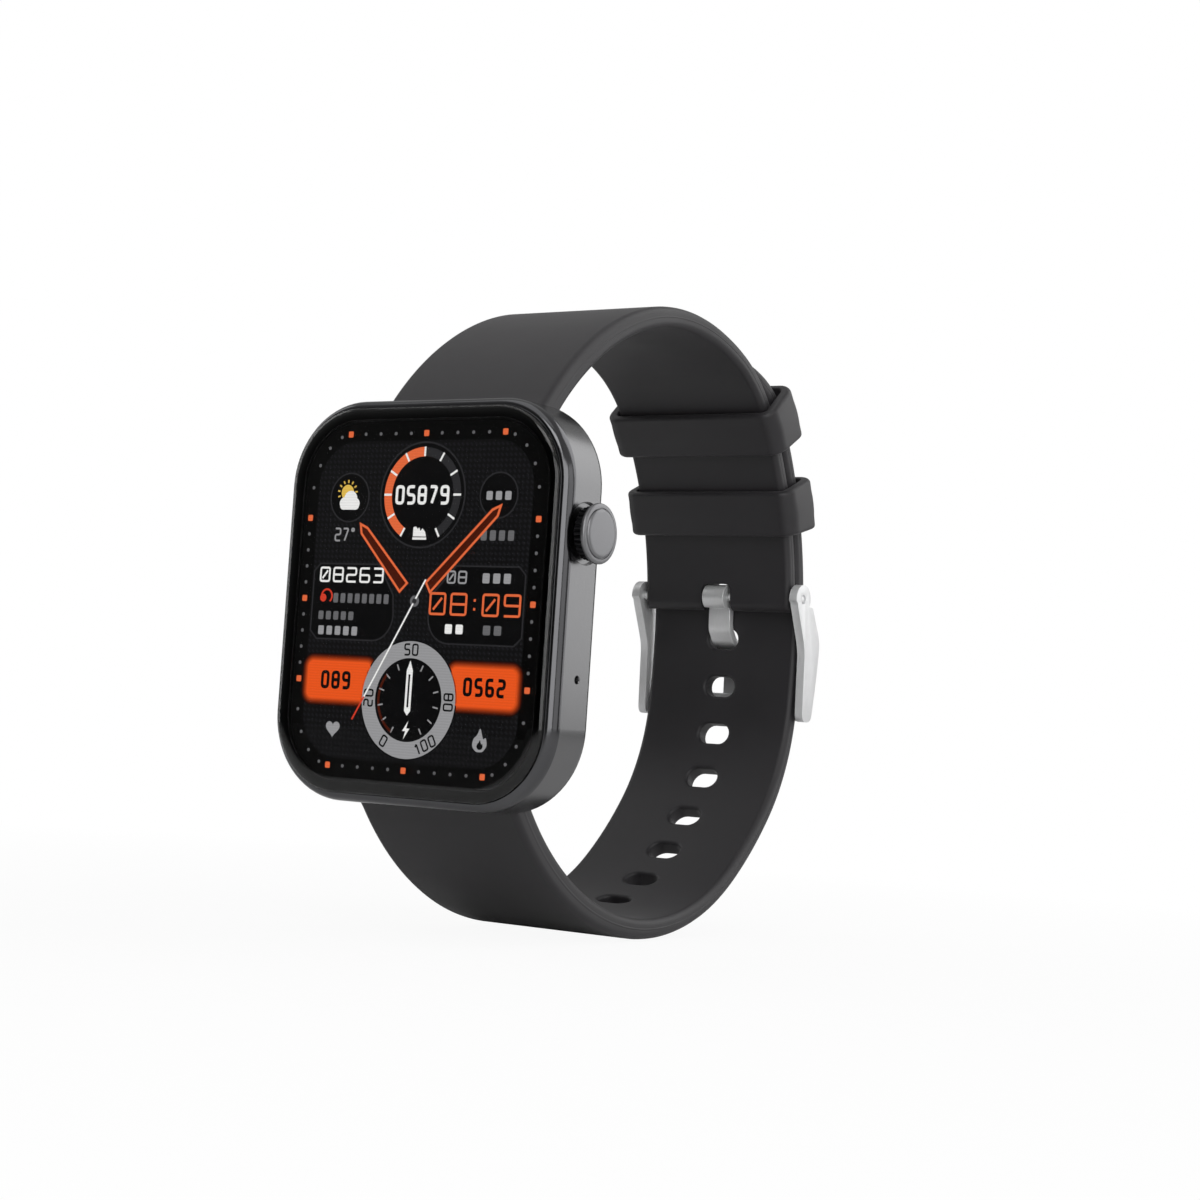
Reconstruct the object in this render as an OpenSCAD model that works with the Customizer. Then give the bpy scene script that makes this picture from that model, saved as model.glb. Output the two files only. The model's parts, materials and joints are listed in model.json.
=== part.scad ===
// Smartwatch on a fastened silicone strap.
// +X points out of the crown side, -Y out of the display, +Z to twelve o'clock.
// The origin is the middle of the sensor window's flat face, which rests on the wrist.

/* [Case] */
// Width of the case from side to side
case_w = 38.4; // [38:0.1:39.4]
// Height of the case from the 6 o'clock to the 12 o'clock end
case_h = 44.8; // [44.4:0.1:45.6]
// Corner radius of the case
case_r = 9.6; // [9.2:0.1:10]
// Distance from the glass to the wrist
case_t = 11.2; // [11.1:0.05:11.3]

/* [Strap] */
// Width of the strap
strap_w = 22; // [21.8:0.1:22.2]
// Strap thickness round the back of the wrist
strap_t = 2.2; // [2.1:0.05:2.3]
// Strap thickness beside the case
strap_t_lug = 3.1; // [3:0.05:3.2]
// Distance from one size hole to the next
hole_pitch = 6.3; // [6.2:0.05:6.4]
// Length of a size hole across the strap
hole_w = 5.2; // [5:0.1:5.4]
// Width of a size hole along the strap
hole_l = 3.4; // [3.3:0.05:3.6]
// Height of each keeper loop
keeper_h = 6; // [5.6:0.1:6.2]

/* [Crown] */
// Radius of the crown's knurled barrel
crown_r = 3.05; // [2.9:0.05:3.2]
// Height of the crown above the middle of the case
crown_z = 8; // [7.6:0.1:8.4]
// Travel of the crown when it is pressed
crown_stroke = 0.45; // [0.3:0.05:0.5]

/* [Hidden] */
$fn = 64;
eps = 0.01;

// Levels along Y, from the glass towards the wrist
glass_y = -case_t;
glass_back_y = glass_y + 1.1;
ledge_y = glass_back_y + 0.2;
panel_back_y = glass_back_y + 1.2;
frame_y = panel_back_y + 0.1;
board_y = frame_y + 0.5;
board_top_y = board_y + 0.7;
pocket_y = -7;
cover_y = -3.2;
cover_back_y = -1.7;
dome_y = -0.8;
rear_y = -1.9;

// Rounded rectangles of the case, each as [width, height, corner radius]
rebate = [case_w - 1.9, case_h - 1.9, case_r - 0.95];
window = [case_w - 4.8, case_h - 4.8, case_r - 2.4];
pocket = [case_w - 4.4, 31.4, 4];
cover = [33, 30.6, 6];
cover_hole = [29.6, 27.2, 4.4];
screw_x = 14;
screw_z = 12.8;

// Vibration motor axis, as [x, z]
motor = [-11.2, 7.7];

// Crown axis
crown_y = -6.35;
stem_r = 1;
tube_bore_r = 1.05;
seal_bore_r = 1.5;
seal_x = 17.2;
clip_x = 15.7;
press_gap = 0.1;
crown_sink = 0.35;
knurl_x = case_w/2 - crown_sink + crown_stroke + press_gap;
switch_x = 14;
stem_x = switch_x + crown_stroke + press_gap;
cap_x = knurl_x + 1.15;
crown_end_x = cap_x + 0.7;

// Spring bars, as [y, z] of the upper one; the lower one mirrors it
bar = [-4.2, 20];
bar_r = 0.8;
tip_r = 0.45;
tip_hole_r = 0.5;
recess_w = strap_w + 0.4;
recess_r = 2.1;
lug_r = 1.8;

// Loop of the strap: each arc is [radius, degrees turned clockwise seen from +X],
// and each pose is [y, z, heading]. The short strap's chain is its wrist side.
lug_heading = 53;
lug_start = [-1.2, 21.4, lug_heading];
short_arcs = [[38, 30], [30, 46], [18, 30], [43, 34]];
lap_gap = 0.1;
lap = strap_t + lap_gap;
lap_from = 2;
free_arcs = [[90, 8], [24, 34], [45, 14]];
closing_turns = [26, 64];

function rad(a) = a*PI/180;
function right_of(h) = [sin(h), -cos(h)];
function arc_end(p, r, a) = [p[0] + r*(sin(p[2]) - sin(p[2] - a)),
                             p[1] + r*(cos(p[2] - a) - cos(p[2])), p[2] - a];
function corners(p, arcs, i = 0) = i == len(arcs) ? [p]
    : concat([p], corners(arc_end(p, arcs[i][0], arcs[i][1]), arcs, i + 1));
function last(v) = v[len(v) - 1];
function along(p, arcs, s, i = 0) = let (run = arcs[i][0]*rad(arcs[i][1]))
    s <= run || i == len(arcs) - 1 ? arc_end(p, arcs[i][0], s/arcs[i][0]*180/PI)
    : along(arc_end(p, arcs[i][0], arcs[i][1]), arcs, s - run, i + 1);
function chain_length(arcs, i = 0) =
    i == len(arcs) ? 0 : arcs[i][0]*rad(arcs[i][1]) + chain_length(arcs, i + 1);
function shifted(p, d) = [p[0] - d*sin(p[2]), p[1] + d*cos(p[2]), p[2]];
function yz(p) = [p[0], p[1]];

short_corners = corners(lug_start, short_arcs);
tip_pose = shifted(short_corners[lap_from], lap);
lap_arcs = [for (i = [lap_from:len(short_arcs) - 1]) [short_arcs[i][0] + lap, short_arcs[i][1]]];
open_arcs = concat(lap_arcs, free_arcs);
open_end = last(corners(tip_pose, open_arcs));

// The last two radii close the loop on the lower spring bar: the end is linear in both
function unit_step(h, a) = [sin(h) - sin(h - a), cos(h - a) - cos(h)];
step_a = unit_step(open_end[2], closing_turns[0]);
step_b = unit_step(open_end[2] - closing_turns[0], closing_turns[1]);
to_lug = [lug_start[0] - open_end[0], -lug_start[1] - open_end[1]];
det = step_a[0]*step_b[1] - step_a[1]*step_b[0];
closing_r = [(to_lug[0]*step_b[1] - to_lug[1]*step_b[0])/det,
             (step_a[0]*to_lug[1] - step_a[1]*to_lug[0])/det];
long_arcs = concat(open_arcs, [[closing_r[0], closing_turns[0]], [closing_r[1], closing_turns[1]]]);
short_len = chain_length(short_arcs);
long_len = chain_length(long_arcs);
taper_len = 40;

// Size holes, as distances from the tip of the long strap
tang_s = 41.25;
first_hole = -3;
last_hole = 8;

// Keepers slide round the centre of the short strap's last arc
keeper_arc = short_corners[3];
keeper_r = short_arcs[3][0];
keeper_centre = yz(keeper_arc) + keeper_r*right_of(keeper_arc[2]);
keeper_gap = 0.3;
keeper_wall = 1;
keeper_side = 1.35;
keeper_slack = 0.5;
keeper_up = 1.4;
keeper_pitch = 11.1;

// Buckle
arm_t = 1.1;
arm_x = strap_w/2 + 0.5;
pin_pose = shifted(along(lug_start, short_arcs, short_len - 1.7), strap_t/2);
pin = yz(pin_pose);
pin_r = 0.6;
pin_hole_r = 0.65;
slot_w = 4.4;
slot_back = 2;
tang_w = 3.2;
tang_r = 1.65;
tang_sink = 0.3;

module rounded(size) {
    w = size[0];
    h = size[1];
    r = size[2];
    square([w - 2*r, h], center = true);
    square([w, h - 2*r], center = true);
    for (x = [-1, 1], y = [-1, 1]) translate([x*(w/2 - r), y*(h/2 - r)]) circle(r);
}
module slab(size, y0, y1) {
    translate([0, y1, 0]) rotate([90, 0, 0]) linear_extrude(y1 - y0) rounded(size);
}
module skin(size, inset, y0, y1) {
    translate([0, y1, 0]) rotate([90, 0, 0]) linear_extrude(y1 - y0)
        rounded([size[0] - 2*inset, size[1] - 2*inset, size[2] - inset], $fn = 32);
}
module block(x, y, z) {
    translate([x[0], y[0], z[0]]) cube([x[1] - x[0], y[1] - y[0], z[1] - z[0]]);
}
module rod_y(r, y0, y1) {
    translate([0, y0, 0]) rotate([-90, 0, 0]) cylinder(r = r, h = y1 - y0);
}
module rod_x(r, x0, x1) {
    translate([x0, 0, 0]) rotate([0, 90, 0]) cylinder(r = r, h = x1 - x0);
}
module across(w) {
    rotate([90, 0, 90]) linear_extrude(w, center = true) children();
}
module at_yz(p) {
    translate([0, p[0], p[1]]) children();
}
module on_crown_axis() {
    at_yz([crown_y, crown_z]) children();
}
// Places children on a pose with their +Z pointing outwards and +X across the strap
module on_pose(p) {
    at_yz(yz(p)) rotate([p[2], 0, 0]) children();
}

// ---- Display stack ----
module cover_glass() {
    color("black", 0.6) {
        slab(rebate - [0.1, 0.1, 0.05], glass_y + 0.6, glass_back_y);
        hull() {
            skin(rebate, 0.05, glass_y + 0.4, glass_y + 0.6);
            skin(rebate, 1.3, glass_y, glass_y + 0.2);
        }
    }
}
module display_adhesive() {
    color("dimgray") difference() {
        slab([rebate[0] - 0.4, rebate[1] - 0.4, rebate[2] - 0.2], glass_back_y, ledge_y);
        slab([window[0] + 0.2, window[1] + 0.2, window[2] + 0.1], glass_back_y - 1, ledge_y + 1);
    }
}
module display_panel() {
    color("darkslategray")
        slab([window[0] - 0.4, window[1] - 0.4, window[2] - 0.2], glass_back_y, panel_back_y);
}
module display_flex() {
    color("darkorange") {
        block([-4, 4], [panel_back_y, frame_y], [8, 16]);
        block([-4, 4], [panel_back_y, board_y + 0.75], [16, 16.2]);
    }
}

// ---- Case ----
module case_outside() {
    outline = [case_w, case_h, case_r];
    hull() {
        skin(outline, 0.9, glass_back_y - 0.3, glass_back_y);
        skin(outline, 0.25, glass_back_y + 0.4, glass_back_y + 0.6);
        skin(outline, 0, glass_back_y + 1.3, -4.2);
        skin(outline, 0.5, -3.3, -3.1);
        skin(outline, 2.2, rear_y - 0.2, rear_y);
    }
}
// Recess for a strap end: round behind the spring bar, open along the strap and to the wrist
module strap_recess() {
    along_strap = [cos(lug_heading), sin(lug_heading)];
    outwards = [-sin(lug_heading), cos(lug_heading)];
    round_side = [for (a = [lug_heading + 90:10:lug_heading + 230]) bar + recess_r*[cos(a), sin(a)]];
    across(recess_w) polygon(concat(round_side, [bar + [6, -recess_r], bar + [6, 8],
                                                 bar + 9*along_strap + (recess_r + 0.2)*outwards]));
    at_yz(bar) rod_x(tip_hole_r, -strap_w/2 - 1.3, strap_w/2 + 1.3);
}
module case_body() {
    color("dimgray") difference() {
        case_outside();
        slab(rebate, glass_y - 1, glass_back_y);
        slab([rebate[0] - 0.3, rebate[1] - 0.3, rebate[2] - 0.15], glass_y, ledge_y);
        slab(window, glass_y, pocket_y);
        difference() {
            slab(pocket, pocket_y - eps, cover_y - 0.2);
            for (x = [-1, 1], z = [-1, 1]) translate([x*screw_x, 0, z*screw_z])
                rod_y(1.7, pocket_y - 1, 0);
            for (x = [-1, 1], z = [-1, 1]) translate([x*16, 0, z*14.7])
                block([-2, 2], [pocket_y - 1, 0], [-2, 2]);
        }
        slab(cover + [0.2, 0.2, 0.1], cover_y - 0.2 - eps, 1);
        strap_recess();
        mirror([0, 0, 1]) strap_recess();
        on_crown_axis() rod_x(1.9, pocket[0]/2 - 1, case_w);
        on_crown_axis() rod_x(crown_r + 0.25, case_w/2 - crown_sink, case_w);
        translate([0, -6.3, -7.6]) rod_x(0.4, pocket[0]/2 - 1, case_w);
        for (z = [-10.5:1.8:-3.3]) translate([0, -6.3, z]) rod_x(0.5, -case_w, -pocket[0]/2 + 1);
        for (x = [-1, 1], z = [-1, 1]) translate([x*screw_x, 0, z*screw_z]) rod_y(0.55, -6, 0);
    }
}
module inner_frame() {
    color("silver") difference() {
        slab([window[0] - 0.6, window[1] - 0.6, window[2] - 0.3], frame_y, board_y - 0.1);
        block([-5, 5], [frame_y - 1, board_y + 1], [7, 17]);
    }
}

// ---- Electronics ----
module main_board() {
    color("darkgreen") difference() {
        block([-15.8, 15.8], [board_y, board_top_y], [3.4, 15.2]);
        block([14.2, 17], [board_y - 1, board_top_y + 1], [5.6, 10.4]);
        for (x = [-1, 1]) translate([x*screw_x, 0, screw_z]) rod_y(2, board_y - 1, board_top_y + 1);
        for (x = [-1, 1]) block([x*16 - 2.1, x*16 + 2.1], [board_y - 1, board_top_y + 1], [12.4, 17]);
    }
}
module board_chips() {
    color("black") {
        block([-5.4, 0.6], [board_top_y, board_top_y + 0.9], [5, 11]);
        block([1.8, 4.8], [board_top_y, board_top_y + 0.8], [4.8, 7.8]);
        block([1.8, 5.8], [board_top_y, board_top_y + 0.7], [8.8, 11.2]);
        block([8.4, 11.4], [board_top_y, board_top_y + 0.9], [11.4, 14.4]);
        block([8.8, 11.8], [board_top_y, board_top_y + 0.6], [4.4, 6]);
    }
}
module shield_can() {
    color("lightgray") difference() {
        block([-6.4, 6.8], [board_top_y, board_top_y + 1.4], [4, 12]);
        block([-6.2, 6.6], [board_top_y - 1, board_top_y + 1.2], [4.2, 11.8]);
    }
}
module battery() {
    color("darkgray") {
        block([-11.4, 11.6], [board_y + 0.1, board_y + 3.6], [-14.8, 1.4]);
        block([-3, 3], [board_y + 1, board_y + 2.4], [1.4, 2.6]);
    }
}
module battery_tape() {
    color("gold") block([-11, 11], [board_y - 0.1, board_y + 0.1], [-14, 0.6]);
}
module speaker() {
    color("black") difference() {
        block([-16.6, -12.2], [board_y, board_y + 3.6], [-10.9, -1.9]);
        block([-17, -16], [board_y + 1, board_y + 3], [-10.5, -2.6]);
    }
}
module speaker_mesh() {
    color("gray") block([-pocket[0]/2, -pocket[0]/2 + 0.15], [-7, -5.6], [-11.4, -2.4]);
}
module microphone() {
    color("silver") difference() {
        block([13.4, 16.9], [-6.9, -5.7], [-9.4, -5.8]);
        translate([0, -6.3, -7.6]) rod_x(0.3, 16.2, 18);
    }
}
module on_motor_axis() {
    translate([motor[0], 0, motor[1]]) children();
}
module motor_can() {
    color("silver") on_motor_axis() {
        difference() {
            rod_y(4, board_top_y, board_top_y + 2.8);
            rod_y(3.7, board_top_y + 0.3, board_top_y + 2.5);
            rod_y(0.4, board_top_y - 1, board_top_y + 4);
        }
    }
}
module motor_shaft() {
    color("gray") on_motor_axis() rod_y(0.4, board_top_y, board_top_y + 2.8);
}
module motor_rotor() {
    color("goldenrod") on_motor_axis() difference() {
        union() {
            rod_y(1.2, board_top_y + 0.6, board_top_y + 2.2);
            intersection() {
                rod_y(3.5, board_top_y + 0.7, board_top_y + 2.1);
                block([-4, 4], [board_top_y, board_top_y + 3], [-4, 0]);
            }
        }
        rod_y(0.45, board_top_y, board_top_y + 3);
    }
}

// ---- Back ----
module rear_cover() {
    color("black") difference() {
        union() {
            slab(cover, cover_y, cover_back_y);
            rod_y(13.2, cover_back_y - eps, dome_y);
        }
        rod_y(9.05, cover_back_y - 0.1, 1);
        rod_y(7.4, cover_y - 1, 1);
        for (x = [-1, 1]) translate([x*2.2, 0, -11.2]) rod_y(1.2, cover_y - 1, 1);
        for (x = [-1, 1], z = [-1, 1]) translate([x*screw_x, 0, z*screw_z]) {
            rod_y(0.6, cover_y - 1, 1);
            rod_y(1.15, cover_back_y - 0.7, 1);
        }
    }
}
module rear_gasket() {
    color("dimgray") difference() {
        slab(cover - [0.4, 0.4, 0.2], cover_y - 0.2, cover_y);
        slab(cover_hole + [0.6, 0.6, 0.3], cover_y - 1, cover_y + 1);
        for (x = [-1, 1], z = [-1, 1]) translate([x*screw_x, 0, z*screw_z]) rod_y(0.8, -5, 0);
    }
}
module case_screws() {
    color("silver") for (x = [-1, 1], z = [-1, 1]) translate([x*screw_x, 0, z*screw_z])
        difference() {
            union() {
                rod_y(1.1, cover_back_y - 0.7, cover_back_y - 0.1);
                rod_y(0.55, cover_y - 2, cover_back_y - 0.7 + eps);
            }
            for (a = [0, 90]) rotate([0, a, 0])
                block([-0.6, 0.6], [cover_back_y - 0.4, 0], [-0.12, 0.12]);
        }
}
module sensor_window() {
    color("black") {
        rod_y(9, cover_back_y - 0.1, dome_y + 0.3);
        translate([0, dome_y + 0.3, 0]) rotate([-90, 0, 0])
            cylinder(r1 = 9, r2 = 8.4, h = -dome_y - 0.3);
    }
}
module sensor_board() {
    color("darkgreen") rod_y(8.6, cover_y - 0.8, cover_y);
}
module sensor_diodes() {
    color("lime") {
        for (a = [0:90:270]) rotate([0, a, 0]) block([3.6, 5.8], [cover_y, cover_y + 0.8], [-1.1, 1.1]);
        block([-1.3, 1.3], [cover_y, cover_y + 0.7], [-1.3, 1.3]);
    }
}
module charging_contacts() {
    color("gold") for (x = [-1, 1]) translate([x*2.2, 0, -11.2])
        rod_y(1.2, cover_y - 0.6, dome_y);
}
module charging_magnets() {
    color("silver") for (x = [-1, 1]) translate([x*11.4, 0, 0]) rod_y(1.8, cover_y - 1.2, cover_y);
}

// ---- Crown ----
module crown_cap() {
    color("gray") on_crown_axis() difference() {
        rod_x(crown_r + 0.2, cap_x, crown_end_x);
        translate([crown_end_x - 0.2, 0, 0]) difference() {
            rod_x(crown_r - 0.25, 0, 1);
            rod_x(crown_r - 0.5, -1, 2);
        }
    }
}
module crown_knurl() {
    color("black") on_crown_axis() difference() {
        rod_x(crown_r, knurl_x, cap_x);
        for (a = [0:12:348]) rotate([a, 0, 0]) translate([0, 0, crown_r])
            rotate([45, 0, 0]) block([knurl_x - 1, cap_x + 1], [-0.15, 0.15], [-0.15, 0.15]);
        rod_x(stem_r, knurl_x - 1, cap_x + 1);
    }
}
module crown_stem() {
    color("silver") on_crown_axis() difference() {
        rod_x(stem_r, stem_x, cap_x);
        for (groove = [[clip_x - 0.04, clip_x + 0.34, 0.8], [seal_x - 0.32, seal_x + 0.32, 0.85]])
            difference() {
                rod_x(2, groove[0], groove[1]);
                rod_x(groove[2], groove[0] - 1, groove[1] + 1);
            }
    }
}
module crown_seal() {
    color("black") on_crown_axis() translate([seal_x, 0, 0]) rotate([0, 90, 0])
        rotate_extrude() translate([1.16, 0]) circle(0.3);
}
module crown_tube() {
    color("silver") on_crown_axis() difference() {
        rod_x(1.9, 16.35, case_w/2 - 0.4);
        rod_x(seal_bore_r, 16, 18.2);
        rod_x(tube_bore_r, 16, 20);
    }
}
module crown_clip() {
    color("gray") on_crown_axis() difference() {
        rod_x(1.7, clip_x, clip_x + 0.3);
        rod_x(0.84, clip_x - 1, clip_x + 1);
    }
}
module crown_switch() {
    color("silver") on_crown_axis() {
        block([12.4, switch_x - 0.3], [board_top_y - crown_y, 1.4], [-1.8, 1.8]);
        rod_x(0.7, switch_x - 0.3, switch_x);
    }
}

// ---- Spring bars ----
module spring_bar() {
    at_yz(bar) difference() {
        union() {
            rod_x(bar_r, -10.6, 10.6);
            rod_x(tip_r, -strap_w/2 - 1, -10.5);
        }
        rod_x(0.5, 3, 11);
        block([5.2, 9.6], [-0.45, 2], [-0.45, 0.45]);
    }
}
module release_pin() {
    at_yz(bar) {
        rod_x(tip_r, 5.5, strap_w/2 + 1);
        translate([8.6, 0, 0]) rod_y(0.4, 0, 2.2);
        translate([8.6, 0, 0]) rod_y(0.8, 2.1, 2.7);
    }
}
module spring_bar_upper() {
    color("silver") spring_bar();
}
module spring_bar_lower() {
    color("silver") mirror([0, 0, 1]) spring_bar();
}
module release_pin_upper() {
    color("silver") release_pin();
}
module release_pin_lower() {
    color("silver") mirror([0, 0, 1]) release_pin();
}

// ---- Strap ----
// Outline between a chain and its offset; the thickness goes from t0 to t1 over a length
module strap_profile(p, arcs, t0, t1, from, to) {
    total = chain_length(arcs);
    n = ceil(total/1.5);
    stations = [for (i = [0:n]) total*i/n];
    function t_at(s) = t0 + (t1 - t0)*min(1, max(0, (s - from)/(to - from)));
    inner = [for (s = stations) yz(along(p, arcs, s))];
    outer = [for (s = stations) yz(shifted(along(p, arcs, s), t_at(s)))];
    polygon(concat(inner, [for (i = [n:-1:0]) outer[i]]));
}
// The strap's end round its spring bar, with the window for the release pin
module lug_end() {
    start = yz(lug_start);
    top = yz(shifted(lug_start, strap_t_lug));
    across(strap_w) hull() {
        translate(bar) circle(lug_r);
        polygon([start, top, top + 0.02*[cos(lug_heading), sin(lug_heading)]]);
    }
}
module lug_cuts() {
    at_yz(bar) rod_x(bar_r + 0.02, -20, 20);
    at_yz(bar) block([5.4, 10], [-0.9, 6], [-1, 1]);
}
module size_hole() {
    cylinder_x = (hole_w - hole_l)/2;
    linear_extrude(8, center = true) {
        square([2*cylinder_x, hole_l], center = true);
        for (x = [-1, 1]) translate([x*cylinder_x, 0]) circle(hole_l/2);
    }
}
module strap_short() {
    color("#2c2c2e") difference() {
        union() {
            across(strap_w)
                strap_profile(lug_start, short_arcs, strap_t_lug, strap_t, 0, taper_len);
            lug_end();
        }
        lug_cuts();
        at_yz(pin) rod_x(pin_hole_r, -20, 20);
        on_pose(pin_pose) block([-slot_w/2, slot_w/2], [-slot_back, 4], [-3, 3]);
    }
}
module strap_long() {
    color("#2c2c2e") difference() {
        union() {
            across(strap_w) strap_profile(tip_pose, long_arcs, strap_t, strap_t_lug,
                                          long_len - taper_len, long_len);
            mirror([0, 0, 1]) lug_end();
        }
        mirror([0, 0, 1]) lug_cuts();
        for (k = [first_hole:last_hole])
            on_pose(along(tip_pose, long_arcs, tang_s + k*hole_pitch)) size_hole();
        on_pose(tip_pose) translate([0, 0, -1]) difference() {
            translate([-20, -5, 0]) cube([40, 16, 6]);
            translate([0, 11, -1]) cylinder(r = strap_w/2, h = 8);
        }
    }
}
// A loop round both straps, centred s millimetres along the short strap's last arc
module keeper(s) {
    inside = [keeper_r - keeper_gap, keeper_r + lap + strap_t + keeper_gap + keeper_slack];
    turn = keeper_arc[2] - s/keeper_r*180/PI + 90;
    angle = keeper_h/keeper_r*180/PI;
    at_yz(keeper_centre) rotate([turn - angle/2, 0, 0]) rotate([90, 0, 90])
        rotate_extrude(angle = angle, $fn = 180) difference() {
            translate([inside[0] - keeper_wall, -strap_w/2 - keeper_gap - keeper_side])
                square([inside[1] - inside[0] + 2*keeper_wall, strap_w + 2*keeper_gap + 2*keeper_side]);
            translate([inside[0], -strap_w/2 - keeper_gap])
                square([inside[1] - inside[0], strap_w + 2*keeper_gap]);
        }
}
module keeper_upper() {
    color("#242425") keeper(keeper_up);
}
module keeper_lower() {
    color("#242425") keeper(keeper_up + keeper_pitch);
}

// ---- Buckle ----
// Places in the buckle are [y, z] steps from its pin
module arm_outline() {
    circle(1.9);
    polygon([[-1.85, 0.5], [1.25, -6.5], [1.5, -15.8], [3.9, -15.8], [4.6, -10.4],
             [5.1, -5.3], [1.5, 1.2]]);
}
module buckle_frame() {
    color("silver") at_yz(pin) {
        for (x = [-1, 1]) translate([x*(arm_x + arm_t/2), 0, 0]) difference() {
            across(arm_t) arm_outline();
            rod_x(pin_r, -2, 2);
        }
        across(2*arm_x + 0.2) polygon([[3.2, -15.7], [4.2, -15.7], [4.95, -12.8], [4.15, -12.4]]);
    }
}
module buckle_bar() {
    color("gray") at_yz(pin) rod_x(pin_r, -arm_x - arm_t, arm_x + arm_t);
}
module tang() {
    color("silver") at_yz(pin) across(tang_w) difference() {
        union() {
            translate([-tang_sink, 0]) circle(tang_r);
            polygon([[0.1, -1.2], [0.25, -4.3], [0.95, -5.2], [1.6, -6.05], [3.9, -6.9],
                     [5.1, -10], [5.2, -16.6], [6.1, -16.6], [6, -9.6], [4.6, -6.2],
                     [2.5, -5.4], [1.9, -4.7], [1.2, -3.8], [1.1, -0.6]]);
        }
        circle(pin_hole_r);
    }
}

cover_glass();
display_adhesive();
display_panel();
display_flex();
case_body();
inner_frame();
main_board();
board_chips();
shield_can();
battery();
battery_tape();
speaker();
speaker_mesh();
microphone();
motor_can();
motor_shaft();
motor_rotor();
rear_cover();
rear_gasket();
case_screws();
sensor_window();
sensor_board();
sensor_diodes();
charging_contacts();
charging_magnets();
crown_cap();
crown_knurl();
crown_stem();
crown_seal();
crown_tube();
crown_clip();
crown_switch();
spring_bar_upper();
spring_bar_lower();
release_pin_upper();
release_pin_lower();
strap_short();
strap_long();
keeper_upper();
keeper_lower();
buckle_frame();
buckle_bar();
tang();
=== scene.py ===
"""Looks of a smartwatch on a fastened silicone strap.

Sizes are in millimetres and become metres where a mesh is made. +X points out of the crown
side, -Y out of the display and +Z to twelve o'clock. The origin is the middle of the sensor
window's flat face.
"""

from __future__ import annotations

import json
import logging
import math
from dataclasses import dataclass, field
from enum import Enum

import bmesh
import bpy
import numpy as np
from mathutils import Matrix, Vector

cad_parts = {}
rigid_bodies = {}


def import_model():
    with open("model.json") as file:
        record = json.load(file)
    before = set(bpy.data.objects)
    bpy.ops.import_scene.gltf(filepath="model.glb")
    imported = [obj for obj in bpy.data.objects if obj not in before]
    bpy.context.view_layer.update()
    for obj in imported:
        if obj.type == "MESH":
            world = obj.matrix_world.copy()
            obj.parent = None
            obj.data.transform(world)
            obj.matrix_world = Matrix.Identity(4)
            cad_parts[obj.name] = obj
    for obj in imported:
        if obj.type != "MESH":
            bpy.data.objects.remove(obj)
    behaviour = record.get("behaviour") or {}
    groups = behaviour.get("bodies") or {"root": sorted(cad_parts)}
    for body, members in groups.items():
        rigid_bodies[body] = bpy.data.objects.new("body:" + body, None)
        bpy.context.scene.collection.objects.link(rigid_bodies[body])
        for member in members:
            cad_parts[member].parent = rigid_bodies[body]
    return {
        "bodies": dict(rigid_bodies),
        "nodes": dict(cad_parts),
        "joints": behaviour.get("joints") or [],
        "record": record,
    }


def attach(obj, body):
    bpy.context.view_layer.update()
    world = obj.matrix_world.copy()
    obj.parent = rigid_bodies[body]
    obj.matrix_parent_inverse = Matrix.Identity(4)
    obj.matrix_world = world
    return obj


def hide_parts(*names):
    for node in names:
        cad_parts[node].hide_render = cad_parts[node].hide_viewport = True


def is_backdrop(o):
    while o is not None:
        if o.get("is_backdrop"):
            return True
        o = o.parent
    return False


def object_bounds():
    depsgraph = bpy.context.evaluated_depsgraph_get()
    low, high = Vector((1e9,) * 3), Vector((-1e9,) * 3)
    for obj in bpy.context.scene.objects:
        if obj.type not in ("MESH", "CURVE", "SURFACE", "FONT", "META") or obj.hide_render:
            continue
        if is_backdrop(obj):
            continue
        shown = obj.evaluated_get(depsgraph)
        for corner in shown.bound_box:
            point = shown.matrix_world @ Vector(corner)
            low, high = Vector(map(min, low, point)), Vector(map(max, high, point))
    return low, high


LOG = logging.getLogger("smartwatch")
MM = 0.001


class Body(Enum):
    """The rigid bodies that pieces ride on."""

    WATCH = "watch"
    CROWN = "crown"
    UPPER_LOOP = "loop_upper"
    LOWER_LOOP = "loop_lower"
    BUCKLE = "buckle"
    TANG = "buckle_tang"


class Ends(Enum):
    """How the two ends of a lofted skin are closed."""

    CAPPED = "capped"
    RING = "ring"


# ---------------------------------------------------------------- finishes


def linear(colour: str) -> tuple[float, float, float, float]:
    """Turns an sRGB hex colour into linear light.

    Args:
        colour: Six hex digits after a hash.

    Returns:
        Red, green, blue and alpha in linear light.
    """
    codes = np.array([int(colour[i : i + 2], 16) / 255 for i in (1, 3, 5)])
    light = np.where(codes <= 0.04045, codes / 12.92, ((codes + 0.055) / 1.055) ** 2.4)
    return (*light.tolist(), 1.0)


def per_mm(size: float) -> float:
    """Gives the scale that repeats a pattern once in size millimetres of Object coordinates."""
    return 1 / (size * MM)


def bands_per_mm(size: float) -> float:
    """Gives the scale of a wave texture whose bands are size millimetres apart."""
    return per_mm(size) * 2 * math.pi / 20


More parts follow.
